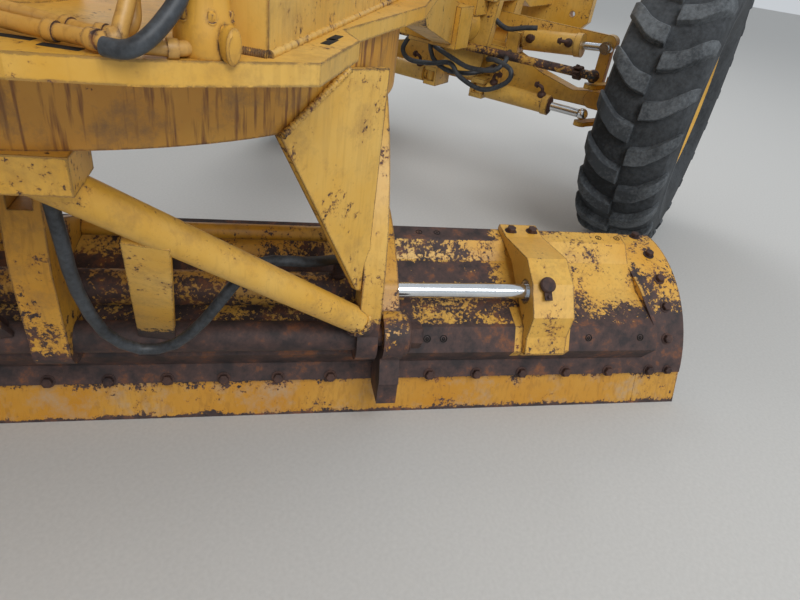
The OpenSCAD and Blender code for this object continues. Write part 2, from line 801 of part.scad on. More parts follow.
nose_half = 165;         // half the width of the rear frame's nose
nose_top = 1397;
hood_x0 = hinge_x - ear_r - 15;
hood_x1 = rear_x + 230;
rail_z0 = 850;
rail_z1 = 1150;
cross_z1 = 1100;         // top of the cross members
hood_z0 = rail_z1 + clear;
hood_z1 = 2380;
tandem_z = 760;
engine_z1 = 2050;

module rear_frame() {
    color(yellow) place() {
        // Nose with the middle ears, and the pins fixed in them
        for (z = [783, 1320]) {
            translate([hinge_x, 0, z]) cylinder(h = 77, r = nose_half);
            box([hinge_x - 420, -nose_half, z], [hinge_x - 20, nose_half, z + 77]);
        }
        box([hinge_x - 430, -420, 783], [hinge_x - 200, 420, rail_z1]);
        box([hinge_x - 430, -nose_half, rail_z1 - 10], [hinge_x - 200, nose_half, nose_top]);
        for (z = [702, 1322])
            translate([hinge_x, 0, z]) cylinder(h = 156, r = hinge_r);
        // Side rails and cross members
        both_sides() box([rear_x + 100, 300, rail_z0], [hinge_x - 420, 420, rail_z1]);
        for (x = [hinge_x - 1000, tandem_x - 600, rear_x + 300])
            box([x, -310, 900], [x + 100, 310, cross_z1]);
        // Rear axle housing
        rod_y(tandem_x, tandem_z + 60, -600, 600, 150);
        translate([tandem_x, 0, tandem_z + 60]) sphere(r = 230);
        both_sides() box([tandem_x - 120, 300, tandem_z + 60], [tandem_x + 120, 420, 900]);
        // Rear plate with the tow hitch
        box([rear_x + 90, -620, 760], [rear_x + 160, 620, 1260]);
        difference() {
            for (z = [820, 920])
                box([rear_x, -90, z], [rear_x + 100, 90, z + 36]);
            translate([rear_x + 45, 0, 800]) cylinder(h = 180, r = hitch_r);
        }
    }
}

// Engine cover: open below, with cut louvre slots at the sides and a grille at the rear
module hood() {
    color(yellow) place() difference() {
        hood_solid(0);
        hood_solid(hood_t);
        // Opening round the nose
        box([hood_x0 - 2 * hood_t, -nose_half - clear, hood_z0 - 30],
            [hood_x0 + 10, nose_half + clear, nose_top + clear]);
        // Side openings
        for (x = [hood_x0 - 700 : -620 : hood_x1 + 500], z = [1500 : 70 : 1780])
            box([x, -hood_w, z], [x + 420, hood_w, z + 34]);
        // Rear grille
        for (z = [1420 : 64 : 2060])
            box([hood_x1 - 10, -hood_w / 2 + 110, z], [hood_x1 + hood_t + 10, hood_w / 2 - 110, z + 34]);
        // Exhaust and air inlet
        translate([hood_x0 - 900, 180, hood_z1 - 400]) cylinder(h = 600, r = 62);
        translate([hood_x0 - 500, -200, hood_z1 - 400]) cylinder(h = 600, r = 72);
    }
}

module hood_solid(t) {
    low = t > 0 ? -20 : 0;
    translate([0, hood_w / 2 - t, 0]) rotate([90, 0, 0]) linear_extrude(hood_w - 2 * t)
        polygon([[hood_x0 - t, hood_z0 + low], [hood_x0 - t, hood_z1 - t], [hood_x0 - 1400, hood_z1 - t],
                 [hood_x1 + 120 + t, hood_z1 - 140 - t], [hood_x1 + t, hood_z1 - 260],
                 [hood_x1 + t, hood_z0 + low]]);
}

// The engine stands in for what the hood hides
module engine() {
    color("#6f6a60") place() {
        box([hood_x0 - 1950, -290, cross_z1 + clear], [hood_x0 - 420, 290, engine_z1]);
        box([hood_x1 + 300, -380, rail_z1 + clear], [hood_x1 + 480, 380, 2000]);
    }
}

module tandems() {
    case_half = 190;
    color(yellow) place() both_sides() {
        translate([tandem_x, 800, tandem_z]) rotate([90, 0, 0]) linear_extrude(200) {
            translate([-tandem_pitch / 2, -case_half]) square([tandem_pitch, 2 * case_half]);
            for (s = [-1, 1]) translate([s * tandem_pitch / 2, tyre_r - tandem_z]) circle(r = 200);
            circle(r = 230);
        }
        for (s = [-1, 1])
            rod_y(tandem_x + s * tandem_pitch / 2, tyre_r, 795, half_track + 62, stub_r);
    }
}

module rear_fittings() {
    color("#4b4540") place() {
        // Exhaust stack
        translate([hood_x0 - 900, 180, engine_z1 + clear]) cylinder(h = 1000, r = 50);
        // Air cleaner inlet
        translate([hood_x0 - 500, -200, engine_z1 + clear]) {
            cylinder(h = 560, r = 60);
            translate([0, 0, 530]) cylinder(h = 130, r = 110);
        }
    }
}

/* Drawbar, circle and blade */

plate_z = circle_z + circle_h + 3;
plate_top = plate_z + plate_t;
web_z = plate_z - 43;

// Half outline of the drawbar's plate, right side, from the rear to the front
plate_half = [[-800, 0], [-800, -450], [-590, -755], [-484, -850], [-302, -955], [-118, -887],
              [-65, -817], [420, -700], [900, -480], [1000, -430], [1000, 0]];

// Outer face of the right drawbar beam, seen from above
frame_p = [-345, -905];
frame_q = [1890, -70];
frame_a = atan2(frame_q[1] - frame_p[1], frame_q[0] - frame_p[0]);
frame_t = 90;

// Lift cylinder of the left side, from its trunnion down beside the drawbar's lug
lift_low = [-180, lift_y, plate_top + 75];
lug_y0 = 596;
lug_y1 = 650;

// Centre shift cylinder, from the frame's left side to the inner face of the right drawbar beam
shift_ball_r = 34;
shift_p = [350, 250, 1470];
face_y = frame_p[1] + (shift_p[0] - frame_p[0]) * tan(frame_a) + frame_t / cos(frame_a);
shift_gap = 8;           // the beam's face moves towards the ball as the drawbar swings
shift_q = [shift_p[0], face_y + (shift_ball_r + shift_gap) / cos(frame_a), plate_top + 82];

module drawbar() {
    l = norm(frame_q - frame_p);
    color(yellow) place() {
        difference() {
            union() {
                translate([0, 0, plate_z]) linear_extrude(plate_t) union() {
                    polygon(plate_half);
                    mirror([0, 1]) polygon(plate_half);
                }
                // Two deep beams run forward to the ball
                both_sides() translate([frame_p[0], frame_p[1], 0]) rotate([0, 0, frame_a])
                    translate([0, frame_t, 0]) rotate([90, 0, 0]) linear_extrude(frame_t)
                    polygon([[0, plate_top - 2], [0, plate_top + 210], [420, plate_top + 210],
                             [1000, plate_top + 60], [l, 990], [l, 800], [1400, 1000],
                             [1150, plate_top - 2]]);
                box([1800, -130, 800], [1935, 130, 985]);
                rod_x(0, ball_z, 1930, ball_x, 42);
                translate([ball_x, 0, ball_z]) sphere(r = ball_r);
                // Shoes that carry the circle by its web
                for (s = [0, 90, 180, 270]) rotate([0, 0, s]) {
                    box([540, -80, web_z - 45], [592, 80, plate_z + 1]);
                    box([540, -80, web_z - 45], [652, 80, web_z - clear]);
                }
                // Lugs of the lift cylinders
                both_sides() {
                    box([lift_low[0] - 50, lug_y0, plate_top - 1], [lift_low[0] + 50, lug_y1, lift_low[2]]);
                    rod_y(lift_low[0], lift_low[2], lug_y0, lug_y1, 40);
                }
            }
            // Opening over the middle of the circle
            translate([0, 0, plate_z - 10]) cylinder(h = 60, r = 330);
        }
        circle_drive();
    }
}

drive_r = 545;           // pinion's distance from the circle's centre
drive_a = 222;

module circle_drive() {
    rotate([0, 0, drive_a]) translate([drive_r, 0, 0]) {
        // Pinion, gearbox, motor and a round cover
        translate([0, 0, web_z]) cylinder(h = plate_z - web_z + 1, r = tooth_tip - drive_r - 5);
        translate([0, 0, plate_top - 1]) cylinder(h = 150, r = 150);
        translate([0, 0, plate_top + 140]) cylinder(h = 60, r = 110);
        translate([0, 0, plate_top + 190]) cylinder(h = 190, r = 75);
    }
}

tooth_root = 640;
tooth_tip = 610;

module circle_node() {
    step = 360 / teeth;
    color(yellow) blade_place() translate([circle_fwd, 0, 0]) {
        translate([0, 0, web_z]) linear_extrude(circle_z + circle_h - web_z) difference() {
            circle(r = circle_r - circle_t / 2);
            polygon([for (i = [0 : teeth - 1],
                          k = [[0.00, tooth_root], [0.30, tooth_root], [0.42, tooth_tip], [0.88, tooth_tip]])
                k[1] * [cos((i + k[0]) * step), sin((i + k[0]) * step)]]);
        }
        translate([0, 0, circle_z]) difference() {
            cylinder(h = circle_h, r = circle_r, $fn = 180);
            translate([0, 0, -1]) cylinder(h = circle_h + 2, r = circle_r - circle_t, $fn = 180);
        }
    }
}

// Pivot of the blade's cradle, in the blade frame's x and z
pivot = [-55, 337];
arm_u0 = 672;
arm_u1 = 727;
arm_c = [487, 447];      // centre of the arm's curve, where the moldboard's own curve is when tipped back
arm_in_r = 507;
arm_out_r = 603;
shaft_r = 40;
stub_shaft_r = 30;
nut_u0 = 815;
nut_u1 = 857;
tip_base = [900, 955];
tip_top = [-50, 790];
tip_u = -55;

module blade_arms() {
    color(yellow) blade_place() {
        difference() {
            union() {
                slabs(arm_u0, arm_u1) {
                    translate(arm_c) arc_band(arm_in_r, arm_out_r, 88, 192);
                    translate(pivot) circle(r = 66);
                }
                // Inclined plates from the circle's wall to the arms
                for (s = [-1, 1])
                    translate([-286, s * 457, 0]) rotate([0, 0, s * 47.5])
                        rotate([90, 0, 0]) translate([0, 0, -8]) linear_extrude(16)
                        polygon([[0, circle_z], [172, 1050], [300, 1040], [300, 500], [262, 520]]);
                // Braces from the rear of the circle to the foot of each arm
                for (s = [-1, 1]) {
                    bar([-400, s * 90, 905], [-90, s * (arm_u0 + 20), 400], 35);
                    bar([-318, s * 232, 772], [-62, s * 180, 372], 26);
                }
                box([-450, -160, 890], [-330, 160, circle_z]);
                // Shaft between the feet of the arms
                slab(-arm_u0 - 5, arm_u0 + 5) translate(pivot) circle(r = shaft_r);
                slab(-nut_u1, nut_u1) translate(pivot) circle(r = stub_shaft_r - pin_gap);
                slabs(nut_u0, nut_u1) translate(pivot) circle(r = 36, $fn = 6);
                // Clevis of the tip cylinder on the front of the circle
                for (s = [tip_u - 52, tip_u + 26])
                    slab(s, s + 26) polygon([[tip_base[0] - 40, tip_base[1] - 42], [tip_base[0] - 40, 1005],
                        [1075, 1005], [1075, tip_base[1] - 13], [tip_base[0] + 40, tip_base[1] - 42]]);
                slab(tip_u - 52, tip_u + 52) translate(tip_base) circle(r = small_pin_r);
            }
            // Leave the circle's own wall, web and teeth clear
            translate([circle_fwd, 0, 0]) {
                translate([0, 0, circle_z]) difference() {
                    cylinder(h = circle_h, r = circle_r);
                    translate([0, 0, -1]) cylinder(h = circle_h + 2, r = circle_r - circle_t);
                }
                translate([0, 0, web_z]) cylinder(h = 100, r = circle_r - 1);
            }
        }
    }
}

// A point by its polar angle about the moldboard's own centre
function polar(r, a) = board_c + r * [cos(a), sin(a)];

rail_u = 1650;
side_c = [70, 405];      // side shift cylinder
bracket_u0 = 1200;
bracket_u1 = 1330;
side_pin_u = 1242;
side_rod_r = 22.5;

module moldboard() {
    color(yellow) blade_place() {
        slab(-blade_len / 2, blade_len / 2) translate(board_c)
            arc_band(blade_r - blade_t, blade_r, board_top, 165.5);
        // Upper and lower rail
        slab(-rail_u, rail_u) polygon([polar(blade_r - 2, 94), polar(442, 95), polar(442, 103),
                                       polar(424, 107.5), polar(blade_r - 2, 112)]);
        slab(-rail_u, rail_u) polygon([polar(blade_r - 2, 125), polar(487, 143.4), polar(478, 152.5),
                                       polar(blade_r - 2, 158)]);
        // Gussets at the ends of the rails
        slabs(rail_u - 2, rail_u + 10) polygon([polar(blade_r - 2, 110), polar(432, 126), polar(487, 143.4),
                                                polar(478, 152.5), polar(blade_r - 2, 158)]);
        side_bracket();
    }
}

// Bracket that ties the side shift rod to both rails
module side_bracket() {
    difference() {
        slab(bracket_u0, bracket_u1)
            polygon([polar(444, 94.5), polar(462, 95), polar(466, 104), polar(560, 122), polar(572, 131),
                     polar(560, 141), polar(510, 147), polar(500, 153), polar(476, 153), polar(486, 143.4),
                     polar(455, 131), polar(455, 116), polar(441, 103)]);
        slab(bracket_u0 - 5, bracket_u1 - 28) translate(side_c) circle(r = 36);
    }
    // Feet on the rails
    slab(bracket_u0 + 10, bracket_u1 - 10)
        polygon([polar(440, 95), polar(446, 95), polar(446, 102.5), polar(440, 102.5)]);
    // Pin through the rod's eye, square to the moldboard's back
    translate([side_c[0], -side_pin_u, side_c[1]]) rotate([0, -41.4, 0]) translate([0, 0, -62])
        cylinder(h = 134, r = 18);
}

module cutting_edge() {
    seat_r = blade_r - blade_t - clear;
    color(yellow) blade_place() {
        slab(-blade_len / 2 + 150, blade_len / 2 - 150)
            polygon([[0, 0], polar(seat_r, 165.5), polar(seat_r, 155.5), polar(seat_r - edge_t, 155.5),
                     polar(seat_r - edge_t, 166), [edge_t, 0]]);
        // End bits wrap up the ends of the moldboard
        slabs(blade_len / 2 - 149, blade_high_u) {
            polygon([[0, 0], polar(seat_r, 165.5), polar(seat_r, 155.5), polar(seat_r - edge_t, 155.5),
                     polar(seat_r - edge_t, 166), [edge_t, 0]]);
            translate(board_c) arc_band(seat_r - edge_t, seat_r, bit_top, 158);
        }
    }
}

module side_barrel() {
    color(worn) blade_place() difference() {
        slab(-cast_u0 + clear, cast_u0 - clear) translate(side_c) circle(r = 47);
        slab(-700, 760) translate(side_c) circle(r = side_rod_r + pin_gap);
    }
}

module side_rod() {
    color(chrome) blade_place() difference() {
        union() {
            slab(-380, 1205) translate(side_c) circle(r = side_rod_r);
            slab(1200, 1290) translate(side_c) circle(r = 34);
        }
        translate([side_c[0], -side_pin_u, side_c[1]]) rotate([0, -41.4, 0]) translate([0, 0, -80])
            cylinder(h = 160, r = 18 + pin_gap);
    }
}

cast_u0 = 745;
cast_u1 = 800;
bar_c = polar(520, 112);

module cradle() {
    lever_half = 42;
    color(yellow) blade_place() {
        difference() {
            union() {
                slabs(cast_u0, cast_u1) {
                    translate(board_c) arc_band(504, 562, 100, 160);
                    translate(pivot) circle(r = 66);
                    polygon([polar(446, 93.5), polar(446, 103), polar(510, 108), polar(562, 104),
                             polar(530, 93.5)]);
                    polygon([polar(413, 88.5), polar(413, 92.8), polar(446, 93.8), polar(530, 93.8),
                             polar(500, 88.5)]);
                    polygon([polar(492, 144), polar(482, 154.5), polar(440, 157.5), polar(440, 165),
                             polar(540, 167), polar(562, 158), polar(562, 144)]);
                    translate(side_c) circle(r = 50);
                }
                slabs(cast_u1 - 5, nut_u0 - clear) translate(pivot) circle(r = 58);
                // Bar between the upper ends
                slab(-cast_u0 - 2, cast_u0 + 2) translate(bar_c) circle(r = 22);
                // Lever in the middle, with the heads of its pin outside
                slab(tip_u - lever_half, tip_u + lever_half) {
                    translate(pivot) circle(r = 66);
                    polygon([[-118, 330], [-128, 560], [-92, 790], [-8, 790], [-22, 640], [8, 480],
                             [8, 340]]);
                    translate(tip_top) circle(r = 42);
                }
                slab(tip_u - lever_half - 8, tip_u + lever_half + 8) translate(tip_top) circle(r = 24);
                slab(tip_u - 14, tip_u + 14)
                    polygon([[-30, 470], [-30, 640], bar_c + [10, 30], bar_c + [0, -16]]);
            }
            slab(-nut_u1, nut_u1) translate(pivot) circle(r = stub_shaft_r);
            slab(-arm_u0 - 20, arm_u0 + 20) translate(pivot) circle(r = shaft_r + pin_gap);
            slab(-nut_u1, nut_u1) translate(side_c) circle(r = side_rod_r + 0.5);
            // Slot for the tip rod's eye
            slab(tip_u - 24, tip_u + 24) polygon([[-140, 700], [-140, 850], [60, 850], [60, 700]]);
        }
    }
}

tip_p = [tip_base[0], -tip_u, tip_base[1]];
tip_q = [tip_top[0], -tip_u, tip_top[1]];

module tip_barrel() {
    color(worn) blade_place() {
        barrel(tip_p, tip_q, 600, 46, 22, 62);
        eye(tip_p, [90, 0, 0], 34, 50, small_pin_r);
    }
}

// The rod's eye lies in the slot of the cradle's lever
module tip_rod() {
    color(chrome) blade_place() {
        cyl_rod(tip_p, tip_q, 90, 22, 34);
        translate(tip_q) rotate([90, 0, 0]) cylinder(h = 46, r = 34, center = true);
    }
}

module lift_barrel() {
    color(yellow) place() difference() {
        union() {
            aim(lift_top, lift_low) {
                translate([0, 0, -430]) cylinder(h = 800, r = lift_r);
                translate([0, 0, 340]) cylinder(h = 36, r = lift_r + 5);
            }
            rod_y(lift_top[0], lift_top[2], lift_y - 110, ear_y1 + ear_t + 6, lift_pin_r);
        }
        aim(lift_top, lift_low) translate([0, 0, -400]) cylinder(h = 900, r = lift_rod_r + pin_gap);
    }
}

lift_rod_r = 25;

// The rod's eye lies beside the drawbar's lug
module lift_rod() {
    color(chrome) place() {
        cyl_rod(lift_top, lift_low, -60, lift_rod_r, 40);
        rod_y(lift_low[0], lift_low[2], lug_y1 + clear, 704, 40);
    }
}

module lift_barrel_left() {
    lift_barrel();
}

module lift_barrel_right() {
    mirrored_y() lift_barrel();
}

module lift_rod_left() {
    lift_rod();
}

module lift_rod_right() {
    mirrored_y() lift_rod();
}

module shift_barrel() {
    color(yellow) place() {
        barrel(shift_p, shift_q, 500, 45, 22, 62);
        eye(shift_p, [0, 90, 0], 32, 60, small_pin_r);
    }
}

// The rod's ball stays beside the drawbar's right beam
module shift_rod() {
    color(chrome) place() {
        cyl_rod(shift_p, shift_q, 200, 22, shift_ball_r);
        translate(shift_q) sphere(r = shift_ball_r);
    }
}

// Shell between the ball and its socket
module drawbar_race() {
    color(worn) place() translate([ball_x, 0, ball_z]) rotate([0, 90, 0]) rotate_extrude()
        arc_band(ball_r + clear, ball_r + race_t, 0, 88);
}

/* Hoses */

function unit(v) = v / norm(v);

// Carries a side vector along the directions without twist
function carried(dirs, done) =
    len(done) == len(dirs) ? done
    : let (d = dirs[len(done)], s = done[len(done) - 1]) carried(dirs, concat(done, [unit(s - (s * d) * d)]));

// Closed tube through a list of points, with flat ends
module hose(pts, r, sides = 10) {
    n = len(pts);
    dirs = [for (i = [0 : n - 1]) unit(pts[min(i + 1, n - 1)] - pts[max(i - 1, 0)])];
    first = unit(cross(dirs[0], [0.3, 1, 0.2]));
    side = carried(dirs, [first]);
    ring = [for (i = [0 : n - 1], k = [0 : sides - 1])
        pts[i] + r * (cos(360 * k / sides) * side[i] + sin(360 * k / sides) * cross(dirs[i], side[i]))];
    faces = concat(
        [for (i = [0 : n - 2], k = [0 : sides - 1])
            let (a = i * sides + k, b = i * sides + (k + 1) % sides) [a, a + sides, b + sides, b]],
        [[for (k = [0 : sides - 1]) k], [for (k = [sides - 1 : -1 : 0]) (n - 1) * sides + k]]);
    polyhedron(points = ring, faces = faces);
}

// Catmull-Rom points between hand-chosen ones
function between(p, t) =
    let (n = len(p) - 1, i = min(floor(t), n - 1), f = t - i,
         a = p[max(i - 1, 0)], b = p[i], c = p[i + 1], d = p[min(i + 2, n)])
    0.5 * (2 * b + (c - a) * f + (2 * a - 5 * b + 4 * c - d) * f * f + (3 * b - a - 3 * c + d) * f * f * f);

function smooth(p, steps) = [for (k = [0 : steps]) between(p, k * (len(p) - 1) / steps)];

// Blade frame x, y and z of the hose from the circle down to the side shift cylinder
blade_route = [[-344, -88, 889.7], [-344, -88, 868], [-344, -88, 846], [-332, -90, 742], [-275, -80, 612],
               [-205, -95, 460], [-170, -155, 386], [-172, -234, 402], [-198, -306, 490], [-198, -362, 571],
               [-160, -405, 604], [-120, -455, 601], [-95, -530, 585], [-27, -592, 552], [42, -630, 520],
               [66, -635, 506], [70, -635, 500]];
// Machine frame route of the hose that loops behind the axle's middle
axle_route = [[2120, 90.3, 960], [2120, 97, 960], [2120, 104, 960], [2108, 128, 940], [2092, 150, 880],
              [2078, 156, 780], [2076, 126, 690],
              [2080, 46, 645], [2092, -50, 644], [2126, -118, 658], [2185, -160, 678], [2224, -167, 684],
              [2234, -167, 684], [2244.3, -167, 684]];

module blade_hose() {
    color(black) blade_place() hose(smooth(blade_route, 32), 13);
}

module axle_hose() {
    color(black) place() hose(smooth(axle_route, 28), 12);
}

frame();
push_plate();
front_axle();
cab_floor();
cab_front();
cab_rear();
cab_sides();
cab_roof();
cab_glass();
seat();
controls();
access();
lamps();
rear_frame();
hood();
engine();
tandems();
rear_fittings();
wheel(axle_x, 1, spindle_r);  // wheel_front_left
wheel(axle_x, -1, spindle_r);  // wheel_front_right
wheel(tandem_x + tandem_pitch / 2, 1, stub_r);  // wheel_mid_left
wheel(tandem_x + tandem_pitch / 2, -1, stub_r);  // wheel_mid_right
wheel(tandem_x - tandem_pitch / 2, 1, stub_r);  // wheel_rear_left
wheel(tandem_x - tandem_pitch / 2, -1, stub_r);  // wheel_rear_right
lean_yoke_left();
lean_yoke_right();
knuckle_left();
knuckle_right();
tie_rod();
lean_bar();
lean_barrel();
lean_rod();
steer_barrel_left();
steer_barrel_right();
steer_rod_left();
steer_rod_right();
drawbar_race();
drawbar();
circle_node();  // circle
blade_arms();
cradle();
side_barrel();
side_rod();
moldboard();
cutting_edge();
tip_barrel();
tip_rod();
lift_barrel_left();
lift_barrel_right();
lift_rod_left();
lift_rod_right();
shift_barrel();
shift_rod();
door_left();
door_right();
blade_hose();
axle_hose();
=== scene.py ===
"""A parked motor grader with worn yellow enamel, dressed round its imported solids. Metres, row frame."""
import random
from math import copysign, cos, radians, sin, tau

import bmesh
import bpy
from mathutils import Matrix, Vector


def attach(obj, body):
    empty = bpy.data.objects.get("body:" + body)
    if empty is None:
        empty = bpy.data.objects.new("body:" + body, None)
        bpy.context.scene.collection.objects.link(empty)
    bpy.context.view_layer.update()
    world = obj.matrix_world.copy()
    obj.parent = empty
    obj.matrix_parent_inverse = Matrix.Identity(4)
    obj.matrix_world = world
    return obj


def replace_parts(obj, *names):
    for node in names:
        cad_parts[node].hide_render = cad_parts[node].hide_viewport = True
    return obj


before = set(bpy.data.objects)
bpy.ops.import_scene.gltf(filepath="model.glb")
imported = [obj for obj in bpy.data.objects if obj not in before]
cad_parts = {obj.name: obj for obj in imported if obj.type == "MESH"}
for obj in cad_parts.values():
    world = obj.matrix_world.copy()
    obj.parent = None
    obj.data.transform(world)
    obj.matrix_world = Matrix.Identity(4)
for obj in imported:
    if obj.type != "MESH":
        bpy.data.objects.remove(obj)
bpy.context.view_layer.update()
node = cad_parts
bpy.ops.object.select_all(action="DESELECT")
draw = random.Random(7)

# Places in the row frame: the circle's centre, and the blade frame turned with it
BLADE_ANGLE = radians(42)
MIDDLE = Vector((1.25, 0.07736, 0))
MID_Y = MIDDLE.y
CIRCLE_FWD = 0.324
BOARD_C = (0.41, 0.02)
BOARD_R = 0.408
PIVOT = (-0.055, 0.337)
AXLE_X = 3.58
HALF_TRACK = 1.05
WHEEL_X = {"front": AXLE_X, "mid": -1.75, "rear": -3.29}
TYRE_R = 0.69
BOLT_PITCH = 0.1524
PLATE_Z = 1.133
STEER_Z = 0.5857
BALL_Y = 0.715
TIE_X = 2.15
TIE_Z = 0.7693
SIDES = ((-1, "right"), (1, "left"))


def machine(x, y, z):
    """Row-frame point from the machine frame, whose origin is under the circle's centre."""
    return Vector((x, y, z)) + MIDDLE


def on_plate(x, y, z=0.0):
    """Row-frame point from the machine frame's x and y and the height over the drawbar's plate."""
    return machine(x, y, PLATE_Z + z)


def at_blade(x, u, z):
    """Row-frame point from the blade's normal x, its right-hand length u and the height z."""
    c, s = cos(BLADE_ANGLE), sin(BLADE_ANGLE)
    return Vector(((x - CIRCLE_FWD) * c + u * s, (x - CIRCLE_FWD) * s - u * c, z)) + MIDDLE


TO_BLADE = Matrix.Translation(at_blade(0, 0, 0)) @ Matrix.Rotation(BLADE_ANGLE, 4, "Z")


def rotated(degrees, axis="Z"):
    """Matrix of a turn round an axis."""
    return Matrix.Rotation(radians(degrees), 4, axis)


def on_board(r, a, u, size):
    """Matrix that stands a piece on the moldboard's back at angle a, in degrees, its Z axis outwards."""
    x = BOARD_C[0] + r * cos(radians(a))
    z = BOARD_C[1] + r * sin(radians(a))
    return TO_BLADE @ Matrix.Translation((x, -u, z)) @ rotated(90 - a, "Y") @ Matrix.Scale(size, 4)


def stand(point, axis, size=1.0, turn=0.0):
    """Matrix that puts a piece at a point with its Z axis along the given one."""
    aim = Vector(axis).to_track_quat("Z", "Y").to_matrix().to_4x4()
    return Matrix.Translation(point) @ aim @ Matrix.Rotation(turn, 4, "Z") @ Matrix.Scale(size, 4)


# Camera of the photograph
yaw, pitch, roll = (radians(a) for a in (27.15, -32.45, -8.55))
ahead = Vector((cos(pitch) * cos(yaw), cos(pitch) * sin(yaw), sin(pitch)))
right = Vector((sin(yaw), -cos(yaw), 0))
down = ahead.cross(right)
right, down = right * cos(roll) + down * sin(roll), down * cos(roll) - right * sin(roll)
camera = bpy.data.objects.new("camera", bpy.data.cameras.new("camera"))
bpy.context.scene.collection.objects.link(camera)
turned = Matrix((right, -down, -ahead)).transposed().to_4x4()
camera.matrix_world = Matrix.Translation((0.301, -1.372, 1.305)) @ turned
camera.data.lens = 27
camera.data.sensor_width = 36
camera.data.clip_start = 0.02
bpy.context.scene.camera = camera


# Mesh helpers

def only(piece):
    """Makes one piece the selected and active one."""
    bpy.ops.object.select_all(action="DESELECT")
    piece.select_set(True)
    bpy.context.view_layer.objects.active = piece


def edit_whole():
    """Opens the active piece for editing, with all of it selected."""
    bpy.ops.object.mode_set(mode="EDIT")
    bpy.ops.mesh.select_all(action="SELECT")


def cleaned(name):
    """Closes the edited mesh's seams, turns its faces outwards and leaves edit mode."""
    bpy.ops.mesh.select_all(action="SELECT")
    bpy.ops.mesh.remove_doubles(threshold=0.00005)
    bpy.ops.mesh.delete_loose()
    bpy.ops.mesh.select_all(action="SELECT")
    bpy.ops.mesh.normals_make_consistent(inside=False)
    bpy.ops.object.mode_set(mode="OBJECT")
    bpy.context.object.name = name
    return bpy.context.object


def lathe(name, section, steps=48):
    """A closed section of (radius, height) points, spun round Z."""
    bpy.ops.mesh.primitive_circle_add(vertices=len(section), fill_type="NOTHING")
    for corner, (r, z) in zip(bpy.context.object.data.vertices, section):
        corner.co = (r, 0, z)
    edit_whole()
    bpy.ops.mesh.spin(steps=steps, angle=tau, center=(0, 0, 0), axis=(0, 0, 1))
    return cleaned(name)


def sweep(name, rings):
    """A solid through rings of equally many points, closed at both ends."""
    bpy.ops.mesh.primitive_circle_add(vertices=len(rings[0]), fill_type="NGON")
    made = bpy.context.object
    for corner, place in zip(made.data.vertices, rings[0]):
        corner.co = place
    bpy.ops.object.mode_set(mode="EDIT")
    bpy.ops.mesh.select_mode(type="FACE")
    bpy.ops.mesh.select_all(action="SELECT")
    for before, after in zip(rings, rings[1:]):
        bpy.ops.mesh.extrude_region_move()
        mesh = bmesh.from_edit_mesh(made.data)
        for corner in [v for v in mesh.verts if v.select]:
            nearest = min(range(len(before)), key=lambda i: (corner.co - Vector(before[i])).length)
            corner.co = after[nearest]
        bmesh.update_edit_mesh(made.data)
    return cleaned(name)


def line(name, points, radius, swell=0.0, closed=False):
    """A round bar, pipe, bead or hose through points; swell makes every other point thicker."""
    bpy.ops.curve.primitive_nurbs_path_add()
    made = bpy.context.object
    made.name = name
    made.data.splines.clear()
    run = made.data.splines.new("POLY")
    run.points.add(len(points) - 1)
    run.use_cyclic_u = closed
    for i, (knot, place) in enumerate(zip(run.points, points)):
        knot.co = (*place, 1)
        knot.radius = 1 + swell * (-1) ** i
    made.data.bevel_depth = radius
    made.data.bevel_resolution = 5
    made.data.use_fill_caps = True
    return made


def solid(curve):
    """Turns a line into a mesh."""
    only(curve)
    bpy.ops.object.convert(target="MESH")
    return bpy.context.object


def joined(parts, name):
    """Joins pieces into the first of them."""
    bpy.ops.object.select_all(action="DESELECT")
    for part in parts:
        part.select_set(True)
    bpy.context.view_layer.objects.active = parts[0]
    bpy.ops.object.join()
    bpy.context.object.name = name
    return bpy.context.object


def copies(master, places, name):
    """One joined piece of copies of a modelled one, each with its own mesh, at the given matrices."""
    made = []
    for place in places:
        one = master.copy()
        one.data = master.data.copy()
        one.data.transform(place)
        bpy.context.scene.collection.objects.link(one)
        made.append(one)
    return joined(made, name)


def bolt_ring(master, radius, count, height, size, name):
    """Copies of a nut or bolt in a ring round Z."""
    turns = [i * tau / count for i in range(count)]
    return copies(master, [stand((radius * cos(a), radius * sin(a), height), (0, 0, 1), size)
                           for a in turns], name)


def block(name, low, high, bevel=0.004):
    """A rectangular piece with bevelled edges."""
    low, high = Vector(low), Vector(high)
    bpy.ops.mesh.primitive_cube_add(size=1, location=(low + high) / 2)
    bpy.context.object.scale = high - low
    bpy.ops.object.transform_apply(location=True, rotation=True, scale=True)
    edit_whole()
    bpy.ops.mesh.bevel(offset=bevel, segments=2, affect="EDGES")
    return cleaned(name)


def dress(piece, body, skin, slot, smooth=32):
    """Gives a finished piece its shading and material and the body that it moves with; the slot is not used.
    """
    only(piece)
    if piece.type == "MESH":
        bpy.ops.object.shade_smooth_by_angle(angle=radians(smooth))
    if skin:
        piece.data.materials.clear()
        piece.data.materials.append(skin)
    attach(piece, body)
    return piece


def smooth_path(points, steps):
    """Catmull-Rom points between given ones."""
    made = []
    last = len(points) - 1
    for k in range(steps + 1):
        t = k * last / steps
        i = min(int(t), last - 1)
        f = t - i
        a, b, c, d = (Vector(points[j]) for j in (max(i - 1, 0), i, i + 1, min(i + 2, last)))
        made.append((2 * b + (c - a) * f + (2 * a - 5 * b + 4 * c - d) * f * f
                     + (3 * b - a - 3 * c + d) * f * f * f) / 2)
    return made


# Materials

def rgb(code):
    """Linear colour of an sRGB hex value."""
    part = [int(code[i:i + 2], 16) / 255 for i in (1, 3, 5)]
    return [p / 12.92 if p <= 0.04045 else ((p + 0.055) / 1.055) ** 2.4 for p in part] + [1]


